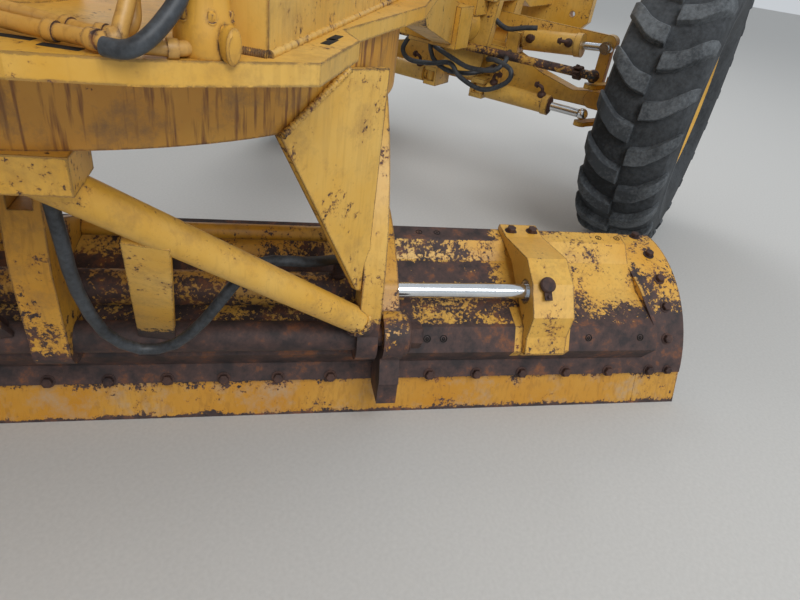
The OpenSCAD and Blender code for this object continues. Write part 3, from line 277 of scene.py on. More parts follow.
def add(tree, kind, inputs=None, **settings):
    """Adds a node with its settings, and sets or links its inputs."""
    made = tree.nodes.new("ShaderNode" + kind)
    for name, value in settings.items():
        setattr(made, name, value)
    for key, value in (inputs or {}).items():
        if isinstance(value, bpy.types.NodeSocket):
            tree.links.new(value, made.inputs[key])
        else:
            made.inputs[key].default_value = value
    return made


def blank(name):
    """A new material and its tree, emptied, with the Object coordinates."""
    made = bpy.data.materials.new(name)
    made.use_nodes = True
    tree = made.node_tree
    tree.nodes.clear()
    return made, tree, add(tree, "TexCoord").outputs["Object"]


def set_stops(ramp, stops):
    """Gives a colour ramp its stops of (position, colour)."""
    bar = ramp.color_ramp
    bar.elements[0].position, bar.elements[0].color = stops[0]
    bar.elements[1].position, bar.elements[1].color = stops[-1]
    for position, colour in stops[1:-1]:
        bar.elements.new(position).color = colour


MIX_FACTOR, MIX_A, MIX_B, MIX_OUT = 0, 6, 7, 2


def noise(tree, place, scale, detail, rough=0.5):
    """Value of a noise texture."""
    inputs = {"Vector": place, "Scale": scale, "Detail": detail, "Roughness": rough}
    return add(tree, "TexNoise", inputs).outputs["Fac"]


def ranged(tree, value, low, high, to_low=0.0, to_high=1.0):
    """A value carried over from one range to another, and held at its ends."""
    inputs = {"Value": value, "From Min": low, "From Max": high, "To Min": to_low, "To Max": to_high}
    return add(tree, "MapRange", inputs).outputs[0]


def blend(tree, share, first, second):
    """Two colours mixed by a share."""
    inputs = {MIX_FACTOR: share, MIX_A: first, MIX_B: second}
    return add(tree, "Mix", inputs, data_type="RGBA").outputs[MIX_OUT]


def average(tree, share, first, second):
    """Two values mixed by a share."""
    return add(tree, "Mix", {0: share, 2: first, 3: second}).outputs[0]


def calc(tree, operation, *values):
    """Result of a calculation with values."""
    return add(tree, "Math", dict(enumerate(values)), operation=operation).outputs[0]


def measure(tree, operation, *vectors):
    """Value that an operation takes from vectors."""
    return add(tree, "VectorMath", dict(enumerate(vectors)), operation=operation).outputs["Value"]


def principled(made, tree, inputs):
    """Ends a material's tree in a Principled shader."""
    shader = add(tree, "BsdfPrincipled", inputs)
    add(tree, "OutputMaterial", {"Surface": shader.outputs[0]})
    return made


def blade_coords(tree, place):
    """Blade-frame x, -u and z of the shaded point."""
    local = add(tree, "Mapping", {"Vector": place, "Location": at_blade(0, 0, 0),
                                            "Rotation": (0, 0, BLADE_ANGLE)}, vector_type="TEXTURE")
    return add(tree, "SeparateXYZ", {0: local.outputs[0]}).outputs


# Wear and painted shade of the moldboard's back by the angle round its curve, in degrees: between the arms,
# outside, at its end
WEAR_LOW, WEAR_HIGH = 85, 170
# Between the arms the upper bands from 85 to 103 degrees, and in both tables the band from 152.5 to 158 under
# the lower rail, are painted shade drawn as bare dark steel
INNER_WEAR_AND_SHADE = ((85, 0.9), (93, 0.8), (94, 1), (103, 1), (103.5, 0.34), (112, 0.36), (113, 0.6), (121, 0.7),
              (125, 0.45), (142, 0.5), (143.5, 1), (152.5, 1), (158, 0.95), (170, 0.95))
OUTER_WEAR_AND_SHADE = ((85, 0.5), (93, 0.4), (94, 0.3), (103, 0.15), (112, 0.1), (125, 0.2), (134, 0.35), (142, 0.5),
              (143.5, 1), (152.5, 1), (158, 0.85), (170, 0.85))
TIP_WEAR = ((85, 0.3), (110, 0.3), (125, 0.42), (138, 0.7), (150, 0.9), (170, 1))
# Wear of the cutting edge by its height, as a share of 0.25 m
EDGE_WEAR = ((0, 0.8), (0.04, 0.35), (0.1, 0.1), (0.3, 0.08), (0.42, 0.3), (0.47, 0.6), (0.6, 0.85),
             (1, 0.85))


def wear_ramp(tree, share, stops):
    """Wear from 0 to 1 by a share, from stops of (share, wear)."""
    ramp = add(tree, "ValToRGB", {"Fac": share})
    set_stops(ramp, [(p, (w, w, w, 1)) for p, w in stops])
    return ramp.outputs[0]


def bands_of_wear_and_shade(tree, angle, bands):
    """Wear and painted shade by the angle in radians, from bands of (degrees, wear and shade level)."""
    share = ranged(tree, angle, radians(WEAR_LOW), radians(WEAR_HIGH))
    return wear_ramp(tree, share, [((d - WEAR_LOW) / (WEAR_HIGH - WEAR_LOW), w) for d, w in bands])


def board_wear_and_shade(tree, place):
    """Scoured bands along the moldboard's back: the rails slide bare, and the lower lip is brown; the upper
    bands between the arms and the band under the lower rail are painted shade.
    """
    x, side, z = blade_coords(tree, place)
    from_c = [calc(tree, "SUBTRACT", s, c) for s, c in ((x, BOARD_C[0]), (z, BOARD_C[1]))]
    angle = calc(tree, "ARCTAN2", from_c[1], from_c[0])
    inner, outer, tip = (bands_of_wear_and_shade(tree, angle, bands) for bands in (INNER_WEAR_AND_SHADE, OUTER_WEAR_AND_SHADE, TIP_WEAR))
    body = blend(tree, ranged(tree, side, -1.12, -1.2), inner, outer)
    whole = blend(tree, ranged(tree, side, -1.64, -1.67), body, tip)
    # The bracket between the rails keeps its paint
    along = calc(tree, "COMPARE", side, -1.265, 0.09)
    out = measure(tree, "LENGTH", add(tree, "CombineXYZ", dict(enumerate(from_c))).outputs[0])
    proud = calc(tree, "GREATER_THAN", out, 0.4425)
    kept = calc(tree, "MULTIPLY_ADD", calc(tree, "MULTIPLY", along, proud), -0.8, 1.0)
    return calc(tree, "MULTIPLY", whole, kept)


def edge_wear(tree, place):
    """The cutting edge keeps a painted strip between a brown top and a scoured lip."""
    return wear_ramp(tree, ranged(tree, blade_coords(tree, place)[2], 0.0, 0.25), EDGE_WEAR)


def shaft_wear(tree, place):
    """The tube between the arms' feet has lost its paint, and so have the feet round it."""
    x, side, z = blade_coords(tree, place)
    off = add(tree, "CombineXYZ", {0: x, 1: z}).outputs[0]
    return ranged(tree, measure(tree, "DISTANCE", off, (*PIVOT, 0)), 0.05, 0.12, 1.0, 0.0)


def low_wear(tree, place):
    """The cradle is scoured towards the ground."""
    return ranged(tree, blade_coords(tree, place)[2], 0.22, 0.44, 0.95, 0.12)


def enamel_over_steel(name, paint, faded, wear, dirt=0.35, rough=0.42, zone=None, soil="#86643a"):
    """Sprayed enamel on hot-rolled plate: it fades unevenly, chips at edges and shows brown steel."""
    made, tree, place = blank(name)
    fade = noise(tree, place, 2.6, 7.0, 0.62)
    colour = blend(tree, ranged(tree, fade, 0.36, 0.64), rgb(paint), rgb(faded))
    # Rain carries dust and rust down the plates: long thin noise along Z
    tall = add(tree, "Mapping", {"Vector": place, "Scale": (95.0, 95.0, 9.0)})
    patch = average(tree, 0.35, noise(tree, tall.outputs[0], 1.0, 5.0), fade)
    streaks = ranged(tree, patch, 0.51, 0.6, to_high=dirt * dirt if dirt < 0.6 else dirt)
    stained = blend(tree, streaks, colour, rgb("#7b4c1c"))
    grime = ranged(tree, noise(tree, place, 9.0, 10.0, 0.75), 0.5, 0.68, to_high=min(1.0, dirt * 1.3))
    dirty = blend(tree, grime, stained, rgb(soil))
    # Chips: ragged clusters and fine specks, more of them along edges and in the zone given; on the moldboard
    # some of the zone's bands are painted shade
    cluster = noise(tree, place, 8.0, 12.0, 0.74)
    speck = noise(tree, place, 85.0, 6.0, 0.7)
    round_edge = add(tree, "Bevel", {"Radius": 0.009}, samples=4).outputs[0]
    facing = measure(tree, "DOT_PRODUCT", round_edge, add(tree, "NewGeometry").outputs["Normal"])
    edge = ranged(tree, facing, 0.995, 0.75, to_high=0.16)
    level = calc(tree, "ADD", average(tree, 0.42, cluster, speck), edge)
    if zone:
        level = calc(tree, "MULTIPLY_ADD", zone(tree, place), 0.3, level)
    limit = 0.72 - 0.2 * wear
    chip = ranged(tree, level, limit, limit + 0.012)
    rust = add(tree, "ValToRGB", {"Fac": noise(tree, place, 14.0, 9.0, 0.7)})
    set_stops(rust, [(0.38, rgb("#2b2324")), (0.54, rgb("#4b3733")), (0.66, rgb("#7d4c2c"))])
    # A rusty rim runs round every chip
    ringed = blend(tree, ranged(tree, level, limit - 0.035, limit, to_high=0.5), dirty, rgb("#94602a"))
    lifted = calc(tree, "MULTIPLY_ADD", chip, -0.7, speck)
    bump = add(tree, "Bump", {"Height": lifted, "Strength": 0.3, "Distance": 0.0015})
    return principled(made, tree, {"Base Color": blend(tree, chip, ringed, rust.outputs[0]),
                                   "Roughness": ranged(tree, chip, 0.0, 1.0, rough, 0.68),
                                   "Normal": bump.outputs[0]})


def grained(name, dark, light, metallic, rough, grain, tones=(0.4, 0.6), strength=0.2):
    """Two tones of one material: clouds and fine grain mix them, and the grain roughens the surface."""
    made, tree, place = blank(name)
    fine = noise(tree, place, grain, 8.0, 0.65)
    both = average(tree, 0.6, fine, noise(tree, place, 4.0, 9.0, 0.7))
    bump = add(tree, "Bump", {"Height": fine, "Strength": strength, "Distance": 0.001})
    colour = blend(tree, ranged(tree, both, *tones), rgb(dark), rgb(light))
    return principled(made, tree, {"Base Color": colour, "Metallic": metallic, "Normal": bump.outputs[0],
                                   "Roughness": ranged(tree, fine, 0.0, 1.0, rough - 0.08, rough + 0.08)})


# Bright faded yellow of plates that the sun reaches
yellow_enamel = enamel_over_steel("yellow_enamel", "#cf9b33", "#d8b05c", 0.66)
# The circle's wall, streaked with rust by rain; its darker yellow is partly painted shade under the plate
# above it
yellow_streaked_shaded = enamel_over_steel("yellow_enamel_streaked_shaded", "#b98026", "#c8963a", 0.48, dirt=0.95)
# The cab and hood: fewer chips and more gloss
yellow_clean = enamel_over_steel("yellow_enamel_cab", "#d09b2e", "#d9b057", 0.4, dirt=0.22, rough=0.34)
# The moldboard, scraped bare where it slides, with painted shade high between the arms and under the lower
# rail
yellow_board = enamel_over_steel("yellow_enamel_scraped_and_shaded", "#d29a34", "#dbb055", 0.55, zone=board_wear_and_shade)
# The cutting edge, the arms and the cradle, each worn in a zone of its own
yellow_edge = enamel_over_steel("yellow_enamel_edge", "#bb7f18", "#c6933a", 0.55, dirt=0.5, zone=edge_wear,
                                soil="#a99a86")
yellow_arms = enamel_over_steel("yellow_enamel_arms", "#cf9b33", "#d8b05c", 0.74, zone=shaft_wear)
yellow_cradle = enamel_over_steel("yellow_enamel_cradle", "#c58d28", "#d0a044", 0.6, dirt=0.5, zone=low_wear)
# Worn barrel and pipes: mostly brown, with patches of yellow left
yellow_remains = enamel_over_steel("yellow_enamel_remains", "#b98a34", "#c39a4a", 1.24, dirt=0.6)
yellow_pipe = enamel_over_steel("yellow_enamel_pipe", "#bb8a3c", "#cba15a", 0.62, dirt=0.55)
# Black enamel under grime on the engine
black_enamel = enamel_over_steel("black_enamel", "#24221f", "#35322d", 0.3, dirt=0.3, soil="#4d463c")
# Bolts, fittings and other steel that was never painted again
rusted_steel = grained("rusted_steel", "#2a2022", "#5d4238", 0.25, 0.68, 60.0)
STEEL = (rusted_steel, "steel_worn")
# Hard chrome on the cylinder rods
chrome_rod = grained("hard_chrome", "#c5cad0", "#eceff1", 1.0, 0.16, 300.0, strength=0.02)
# Worn and dusty rubber, glass and plastics
# The carcass between the lugs is a darker rubber than the lugs: painted shade in the grooves
tyre_groove_shade = grained("tyre_rubber_shaded_between_lugs", "#222528", "#4a4e52", 0.0, 0.88, 60.0, tones=(0.42, 0.66),
                    strength=0.3)
tyre_rubber = grained("tyre_rubber", "#33373b", "#6c7175", 0.0, 0.85, 70.0, tones=(0.44, 0.66), strength=0.3)
hose_rubber = grained("hose_rubber", "#191c20", "#4c5258", 0.0, 0.5, 90.0, tones=(0.42, 0.68))
seat_vinyl = grained("seat_vinyl", "#26252a", "#45424a", 0.0, 0.5, 160.0)
cab_plastic = grained("cab_plastic", "#2b2a28", "#55514b", 0.0, 0.6, 120.0, strength=0.1)
lamp_glass = grained("lamp_glass", "#c9d2d6", "#e6edf0", 0.0, 0.2, 140.0, strength=0.1)
red_lens = grained("red_lens", "#7d1713", "#a3281d", 0.0, 0.25, 120.0, strength=0.1)
# Near-black for the rails' holes, the plate's slots and the steps' grips: painted shade inside them
painted_shade_recess = grained("painted_shade_recess", "#0d0c0b", "#1a1714", 0.0, 0.9, 60.0)

# Flat float glass with a film of dust
window_glass, tree, place = blank("window_glass")
haze = ranged(tree, noise(tree, place, 6.0, 6.0), 0.4, 0.8, 0.03, 0.14)
principled(window_glass, tree, {"Base Color": rgb("#b4c9c6"), "Roughness": haze, "Transmission Weight": 0.9,
                                "IOR": 1.45, "Alpha": 0.55})

finish_of = {"cab_glass": window_glass, "seat": seat_vinyl, "controls": cab_plastic, "engine": black_enamel,
             "rear_fittings": rusted_steel, "blade_hose": hose_rubber, "axle_hose": hose_rubber,
             "tie_rod": yellow_remains, "drawbar_race": rusted_steel, "side_barrel": yellow_remains,
             "tip_barrel": yellow_remains, "cutting_edge": yellow_edge, "moldboard": yellow_board,
             "blade_arms": yellow_arms, "cradle": yellow_cradle, "circle": yellow_streaked_shaded,
             "hood": yellow_clean}
for name, piece in node.items():
    if name.startswith("wheel"):
        skin = tyre_rubber
    elif "_rod" in name and name != "tie_rod":
        skin = chrome_rod
    elif name.startswith(("cab", "door")):
        skin = yellow_clean
    else:
        skin = yellow_enamel
    piece.data.materials.clear()
    piece.data.materials.append(finish_of.get(name, skin))

# Wheels: a lugged tyre and a dished rim, with local Z outwards
LUGS = 22
LUG_STEP = tau / LUGS
# Stations of a lug from the middle out: width, radius and half thickness of its top, of its foot, and lag
LUG = ((0.004, 0.69, 0.035, 0.004, 0.65, 0.043, 0.0), (0.058, 0.69, 0.035, 0.058, 0.65, 0.043, 0.012),
       (0.088, 0.69, 0.035, 0.088, 0.648, 0.043, 0.026), (0.132, 0.688, 0.034, 0.13, 0.64, 0.042, 0.064),
       (0.158, 0.677, 0.033, 0.154, 0.628, 0.04, 0.088), (0.177, 0.652, 0.03, 0.168, 0.612, 0.036, 0.106),
       (0.1872, 0.612, 0.026, 0.174, 0.59, 0.03, 0.118))
CARCASS = ((0.125, 0.3055), (0.1275, 0.33), (0.155, 0.375), (0.176, 0.425), (0.1855, 0.478), (0.1862, 0.52),
           (0.1875, 0.523), (0.1875, 0.53), (0.1855, 0.533), (0.183, 0.57), (0.176, 0.605), (0.163, 0.632),
           (0.13, 0.648), (0.065, 0.655))


def lug(way, half):
    """One lug on the upper (half 1) or lower side; way turns the pattern for the left or right wheels."""
    rings = []
    for w_top, r_top, t_top, w_foot, r_foot, t_foot, lag in LUG:
        ring = []
        for w, r, t in ((w_foot, r_foot, -t_foot), (w_top, r_top, -t_top), (w_top, r_top, t_top),
                        (w_foot, r_foot, t_foot)):
            a = way * (t - lag) / TYRE_R + (0 if half > 0 else LUG_STEP / 2)
            ring.append((r * cos(a), r * sin(a), half * w))
        rings.append(ring)
    made = sweep("lug", rings)
    only(made)
    edit_whole()
    bpy.ops.mesh.bevel(offset=0.003, segments=1, affect="EDGES")
    return cleaned("lug")


def tyre(way):
    """A tyre with its lugs round the carcass."""
    section = [(r, w) for w, r in CARCASS] + [(0.656, 0)] + [(r, -w) for w, r in reversed(CARCASS)]
    parts = [lathe("carcass", section, 88)]
    # The carcass takes the darker rubber, painted shade between the lugs
    parts[0].data.materials.append(tyre_groove_shade)
    for half in (1, -1):
        master = lug(way, half)
        master.data.materials.append(tyre_rubber)
        parts.append(copies(master, [Matrix.Rotation(i * LUG_STEP, 4, "Z") for i in range(LUGS)], "lugs"))
        bpy.data.objects.remove(master)
    return joined(parts, "tyre")


RIM = ((0.285, -0.141), (0.326, -0.141), (0.3285, -0.138), (0.3285, -0.129), (0.3265, -0.1255),
       (0.305, -0.1253), (0.3045, 0.1253), (0.3265, 0.1255), (0.3285, 0.129), (0.3285, 0.138), (0.326, 0.141),
       (0.298, 0.143), (0.286, 0.128), (0.282, 0.06), (0.262, 0.044), (0.236, 0.05), (0.206, 0.042),
       (0.19, 0.022), (0.142, 0.02), (0.138, 0.024), (0.136, 0.064), (0.128, 0.07), (0.062, 0.07),
       (0.062, 0.061), (0.045, 0.061), (0.045, 0.03), (0.1, 0.01), (0.18, -0.006), (0.262, 0.02),
       (0.28, 0.012))

# Shapes copied at other sizes: a bolt head on its washer, a band, and a nut on its stud
bpy.ops.mesh.primitive_cylinder_add(vertices=6, radius=1, depth=0.9, location=(0, 0, 0.62))
bpy.ops.object.transform_apply(location=True)
bpy.ops.object.mode_set(mode="EDIT")
bpy.ops.mesh.select_mode(type="FACE")
shape = bmesh.from_edit_mesh(bpy.context.object.data)
for face in shape.faces:
    face.select = face.normal.z > 0.9
bmesh.update_edit_mesh(bpy.context.object.data)
bpy.ops.mesh.inset(thickness=0.14)
bpy.ops.transform.translate(value=(0, 0, 0.12))
hexagon = cleaned("hexagon")
washer = lathe("washer", ((0.2, 0), (1.34, 0), (1.34, 0.14), (1.26, 0.2), (0.2, 0.2)), 18)
bolt_head = joined([hexagon, washer], "bolt_head")
band = lathe("band", ((0.9, 0), (1.34, 0), (1.34, 0.14), (1.26, 0.2), (0.9, 0.2)), 20)
stud_nut = joined([copies(bolt_head, [Matrix.Identity(4)], "nut"),
                   lathe("stud", ((0, 1.1), (0.5, 1.1), (0.5, 1.62), (0.42, 1.7), (0, 1.7)), 12)],
                  "stud_nut")

for side, word in reversed(SIDES):
    rubber = tyre(-side)
    nuts = bolt_ring(stud_nut, 0.165, 12, 0.021, 0.016, "nuts")
    cap = lathe("cap", ((0, 0.07), (0.084, 0.07), (0.086, 0.098), (0.078, 0.106), (0.03, 0.108),
                        (0.028, 0.114), (0, 0.114)), 40)
    cap_bolts = bolt_ring(bolt_head, 0.112, 8, 0.0695, 0.009, "cap_bolts")
    disc = joined([lathe("rim", RIM, 72), cap], "rim")
    valve = solid(line("valve", [(0.268, 0.03, 0.042), (0.272, 0.03, 0.075), (0.282, 0.032, 0.098)], 0.0045))
    steel = joined([nuts, cap_bolts, valve], "nuts")
    for place, x in WHEEL_X.items():
        at = Matrix.Translation((x, side * HALF_TRACK + MID_Y, TYRE_R))
        at = at @ rotated(-side * 90, "X")
        at = at @ Matrix.Rotation(draw.uniform(0, tau), 4, "Z")
        name = f"{place}_{word}"
        body = f"wheel_{name}"
        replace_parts(dress(copies(rubber, [at], f"tyre_{name}"), body, None, "tyre"), body)
        dress(copies(disc, [at], f"rim_{name}"), body, yellow_clean, "paint")
        dress(copies(steel, [at], f"nuts_{name}"), body, *STEEL)
    for master in (rubber, disc, steel):
        bpy.data.objects.remove(master)

# Hoses of the CAD model, at their own length
BLADE_ROUTE = ((-0.344, -0.088, 0.8897), (-0.344, -0.088, 0.868), (-0.344, -0.088, 0.846),
               (-0.332, -0.09, 0.742), (-0.275, -0.08, 0.612), (-0.205, -0.095, 0.46), (-0.17, -0.155, 0.386),
               (-0.172, -0.234, 0.402), (-0.198, -0.306, 0.49), (-0.198, -0.362, 0.571),
               (-0.16, -0.405, 0.604), (-0.12, -0.455, 0.601), (-0.095, -0.53, 0.585),
               (-0.027, -0.592, 0.552), (0.042, -0.63, 0.52), (0.066, -0.635, 0.506), (0.07, -0.635, 0.5))
AXLE_ROUTE = ((2.12, 0.0903, 0.96), (2.12, 0.097, 0.96), (2.12, 0.104, 0.96), (2.108, 0.128, 0.94),
              (2.092, 0.15, 0.88), (2.078, 0.156, 0.78), (2.076, 0.126, 0.69), (2.08, 0.046, 0.645),
              (2.092, -0.05, 0.644), (2.126, -0.118, 0.658), (2.185, -0.16, 0.678),
              (2.224, -0.167, 0.684), (2.234, -0.167, 0.684), (2.2443, -0.167, 0.684))
for name, body, route, steps, radius in (
        ("blade_hose", "circle", [TO_BLADE @ Vector(p) for p in BLADE_ROUTE], 32, 0.013),
        ("axle_hose", "front_frame", [machine(*p) for p in AXLE_ROUTE], 28, 0.012)):
    course = smooth_path(route, steps)
    hose = dress(line(f"{name}_line", course, radius), body, hose_rubber, "hose")
    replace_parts(hose, name)
    ends = []
    for at, after in ((course[0], course[1]), (course[-1], course[-2])):
        way = after - at
        ends.append(copies(stud_nut, [stand(at, way, radius * 0.95)], "fitting"))
        ends.append(copies(band, [stand(at + way.normalized() * radius * k, way, radius * 0.9)
                                  for k in (1.9, 2.3)], "ferrule"))
    dress(joined(ends, f"{name}_fittings"), body, *STEEL)

# Moldboard: bolts of the cutting edge and end bits, bracket bolts and the holes of the rails
plough = [on_board(BOARD_R, 164, 0.018 + BOLT_PITCH * k, 0.0142) for k in range(-11, 12)]
plough += [on_board(BOARD_R, 164, s * 1.765, 0.0125) for s in (-1, 1)]
plough += [on_board(BOARD_R, a, s * 1.75, 0.0145) for a in (89.5, 105, 120, 134, 149) for s in (-1, 1)]
bracket = [on_board(0.4605, 100, u, 0.0155) for u in (1.228, 1.302)]
bracket += [on_board(0.4865, 147.5, u, 0.0165) for u in (1.228, 1.302)]
dress(copies(bolt_head, plough + bracket, "moldboard_bolts"), "moldboard", *STEEL)
pin_head = lathe("pin_head", ((0, 0.062), (0.021, 0.062), (0.024, 0.065), (0.024, 0.071), (0.02, 0.075),
                              (0.006, 0.076), (0, 0.078)), 28)
pin_at = TO_BLADE @ Matrix.Translation((0.07, -1.242, 0.405)) @ rotated(-41.4, "Y")
keeper = block("keeper", (-0.046, -0.012, 0.06), (-0.018, 0.012, 0.066), 0.002)
keeper_bolt = copies(bolt_head, [stand((-0.037, 0, 0.066), (0, 0, 1), 0.006)], "keeper_bolt")
pin_group = joined([pin_head, keeper, keeper_bolt], "pin_group")
dress(copies(pin_group, [pin_at], "side_pin_head"), "moldboard", *STEEL)
# The rails' holes are near-black cups: painted shade in the holes
hole = lathe("hole", ((0.2, 0.004), (0.2, -0.4), (1.0, -0.4), (1.0, 0.02), (0.9, 0.06), (0.8, 0.02),
                      (0.75, -0.35)), 16)
seen = [on_board(0.442, 99, s * u, 0.011) for u in (0.92, 0.98, 1.56, 1.63) for s in (-1, 1)]
seen += [on_board(0.4835, 147.5, s * u, 0.011) for u in (0.9, 0.95, 1.42, 1.6) for s in (-1, 1)]
dress(copies(hole, seen, "rail_holes"), "moldboard", painted_shade_recess, "steel_worn")

# Big nuts on the pivot shaft's ends, over the CAD's plain hexagons
for side in (-1, 1):
    end = TO_BLADE @ stand((PIVOT[0], -side * 0.8155, PIVOT[1]), (0, -side, 0), 0.0375, 0.52)
    dress(copies(bolt_head, [end], f"shaft_nut_{'left' if side < 0 else 'right'}"), "circle", *STEEL)

# Weld beads of the blade's frame
beads = []
for s in (-1, 1):
    c, k = cos(radians(s * 47.5)), sin(radians(s * 47.5))
    for face in (-0.01, 0.01):
        ends = [(-0.286 + t * c - face * k, s * 0.457 + t * k + face * c, z)
                for t, z in ((0.004, 0.952), (0.172, 1.05))]
        rise = [Vector(ends[0]).lerp(Vector(ends[1]), i / 28) for i in range(29)]
        beads.append(solid(line("bead", [TO_BLADE @ p for p in rise], 0.0065, 0.16)))
    foot = Vector((-0.4, s * 0.09, 0.905))
    toe = Vector((-0.09, s * 0.692, 0.4))
    way = (toe - foot).normalized()
    side = way.orthogonal().normalized()
    up = way.cross(side)
    loop = [toe - way * 0.028 + (side * cos(a) + up * sin(a)) * 0.036
            for a in (i * tau / 40 for i in range(40))]
    beads.append(solid(line("bead", [TO_BLADE @ p for p in loop], 0.006, 0.16, closed=True)))
dress(joined(beads, "arm_welds"), "circle", yellow_arms, "paint")
for s, word in reversed(SIDES):
    top, foot = Vector((-0.318, s * 0.232, 0.772)), Vector((-0.07, s * 0.182, 0.384))
    way = (foot - top).normalized()
    face = (Vector((-1, 0, 0.1)) + way * way.x).normalized()
    across = way.cross(face)
    flat = block("flat", (-0.043, 0.018, 0.006), (0.043, 0.034, (foot - top).length + 0.012), 0.003)
    flat.data.transform(TO_BLADE @ Matrix.Translation(top)
                        @ Matrix((across, face, way)).transposed().to_4x4())
    dress(flat, "circle", yellow_arms, "paint").name = f"strut_plate_{word}"

# Drawbar plate: hydraulic pipes in clamps, a dark hose, the lift cylinder's socket and slots in the plate
pipes = []
clamps = []
for places, radius, bands in (
        (((-0.56, -0.56, 0.014), (-0.545, -0.65, 0.014), (-0.535, -0.715, 0.014), (-0.52, -0.765, 0.014),
          (-0.512, -0.805, 0.015), (-0.499, -0.822, 0.019), (-0.485, -0.818, 0.036), (-0.472, -0.813, 0.056),
          (-0.462, -0.806, 0.078), (-0.45, -0.78, 0.16), (-0.43, -0.73, 0.3)), 0.0095, (16, 24, 30)),
        (((-0.5, -0.56, 0.013), (-0.492, -0.65, 0.013), (-0.49, -0.72, 0.013), (-0.48, -0.775, 0.014),
          (-0.462, -0.8, 0.024), (-0.448, -0.79, 0.06), (-0.436, -0.76, 0.16), (-0.42, -0.72, 0.3)), 0.0085,
         (18, 26)),
        (((-0.478, -0.838, 0.012), (-0.455, -0.856, 0.011), (-0.43, -0.862, 0.012), (-0.405, -0.85, 0.02),
          (-0.398, -0.835, 0.03)), 0.009, (14,))):
    run = smooth_path([on_plate(*place) for place in places], 64)
    pipes.append(solid(line("pipe", run, radius)))
    for i in bands:
        clamps.append(copies(band, [stand(run[i], run[i + 1] - run[i], radius * 0.97)
                                    @ Matrix.Scale(7.0, 4, (0, 0, 1))], "band"))
dress(joined(pipes + clamps, "plate_pipes"), "drawbar", yellow_pipe, "paint")
DARK_RUN = ((-0.52, -0.828, 0.013), (-0.512, -0.848, 0.013), (-0.503, -0.86, 0.018), (-0.49, -0.867, 0.028),
            (-0.47, -0.869, 0.044), (-0.45, -0.87, 0.066), (-0.432, -0.86, 0.1), (-0.4, -0.83, 0.2))
dark_run = smooth_path([on_plate(*place) for place in DARK_RUN], 48)
dress(solid(line("plate_hose", dark_run, 0.0105)), "drawbar", hose_rubber, "hose")
socket = lathe("socket", ((0, 0.0), (0.066, 0.0), (0.072, 0.01), (0.07, 0.034), (0.06, 0.052), (0.054, 0.078),
                          (0.058, 0.1), (0.05, 0.118), (0.03, 0.128), (0, 0.13)), 36)
bores = copies(bolt_head, [stand((0.056 * cos(a), 0.056 * sin(a), 0.046),
                                 (0.35 * cos(a), 0.35 * sin(a), 1), 0.0095)
                           for a in (i * tau / 6 for i in range(6))], "socket_bolts")
knob = lathe("knob", ((0, 0.06), (0.019, 0.06), (0.019, 0.074), (0.023, 0.076), (0.023, 0.098),
                      (0.018, 0.103), (0, 0.103)), 24)
knob.data.transform(Matrix.Translation((0, 0, 0.03)) @ rotated(96, (-0.4, 0.9, 0)))
casting = joined([socket, bores, knob], "casting")
for side, word in SIDES:
    at = Matrix.Translation(on_plate(-0.402, side * 0.856, -0.001)) @ rotated(side * 118)
    foot = copies(casting, [at @ Matrix.Diagonal((0.52, 0.52, 0.95, 1))], f"plate_casting_{word}")
    dress(foot, "drawbar", yellow_cradle, "paint")
# The plate's slots are thin near-black blocks: painted shade through the slots
slot_hole = block("slot", (-0.024, -0.007, -0.002), (0.024, 0.007, 0.0008), 0.0004)
SLOTS = ((-0.528, -0.763, -62), (-0.544, -0.7, -62), (-0.177, -0.873, 20), (-0.143, -0.857, 20),
         (-0.528, 0.763, 62), (-0.177, 0.873, -20))
slots = [Matrix.Translation(on_plate(x, y)) @ rotated(t) for x, y, t in SLOTS]
dress(copies(slot_hole, slots, "plate_slots"), "drawbar", painted_shade_recess, "paint_dark")
post_beads = []
for p, q in (((-0.345, -0.905), (0.45, -0.608)), ((-0.3765, -0.8207), (-0.345, -0.905))):
    rise = [on_plate(*Vector(p).lerp(Vector(q), i / 60), 0.003) for i in range(61)]
    post_beads.append(solid(line("bead", rise, 0.006, 0.16)))
dress(joined(post_beads, "post_weld"), "drawbar", yellow_enamel, "paint")

# Front axle and cylinders: clamps, boots, gland nuts and port fittings
tie_band = lathe("tie_band", ((0.0205, -0.019), (0.031, -0.019), (0.033, -0.016), (0.033, 0.016),
                              (0.031, 0.019), (0.0205, 0.019)), 32)
cheeks = [block("cheek", (0.026, y0, -0.017), (0.06, y0 + 0.01, 0.017), 0.003) for y0 in (-0.015, 0.005)]
cheek_bolt = copies(bolt_head, [stand((0.046, y, 0), (0, y, 0), 0.0095) for y in (0.015, -0.015)],
                    "cheek_bolt")
tie_clamp = joined([tie_band, *cheeks, cheek_bolt], "tie_clamp")
dress(copies(tie_clamp, [stand(machine(TIE_X, side * 0.64, TIE_Z), (0, side, 0), 1, radians(160))
                         for side in (-1, 1)], "tie_rod_clamps"), "tie_rod", *STEEL)
boot = lathe("boot", ((0.01, -0.0305), (0.014, -0.0305), (0.016, -0.027), (0.017, -0.024), (0.021, -0.019),
                      (0.023, -0.013), (0.031, -0.006), (0.031, 0.004), (0.024, 0.006), (0.01, 0.002)), 32)
dress(copies(boot, [Matrix.Translation(machine(TIE_X, side * BALL_Y, TIE_Z)) for side in (-1, 1)],
             "tie_rod_boots"), "tie_rod", hose_rubber, "hose")


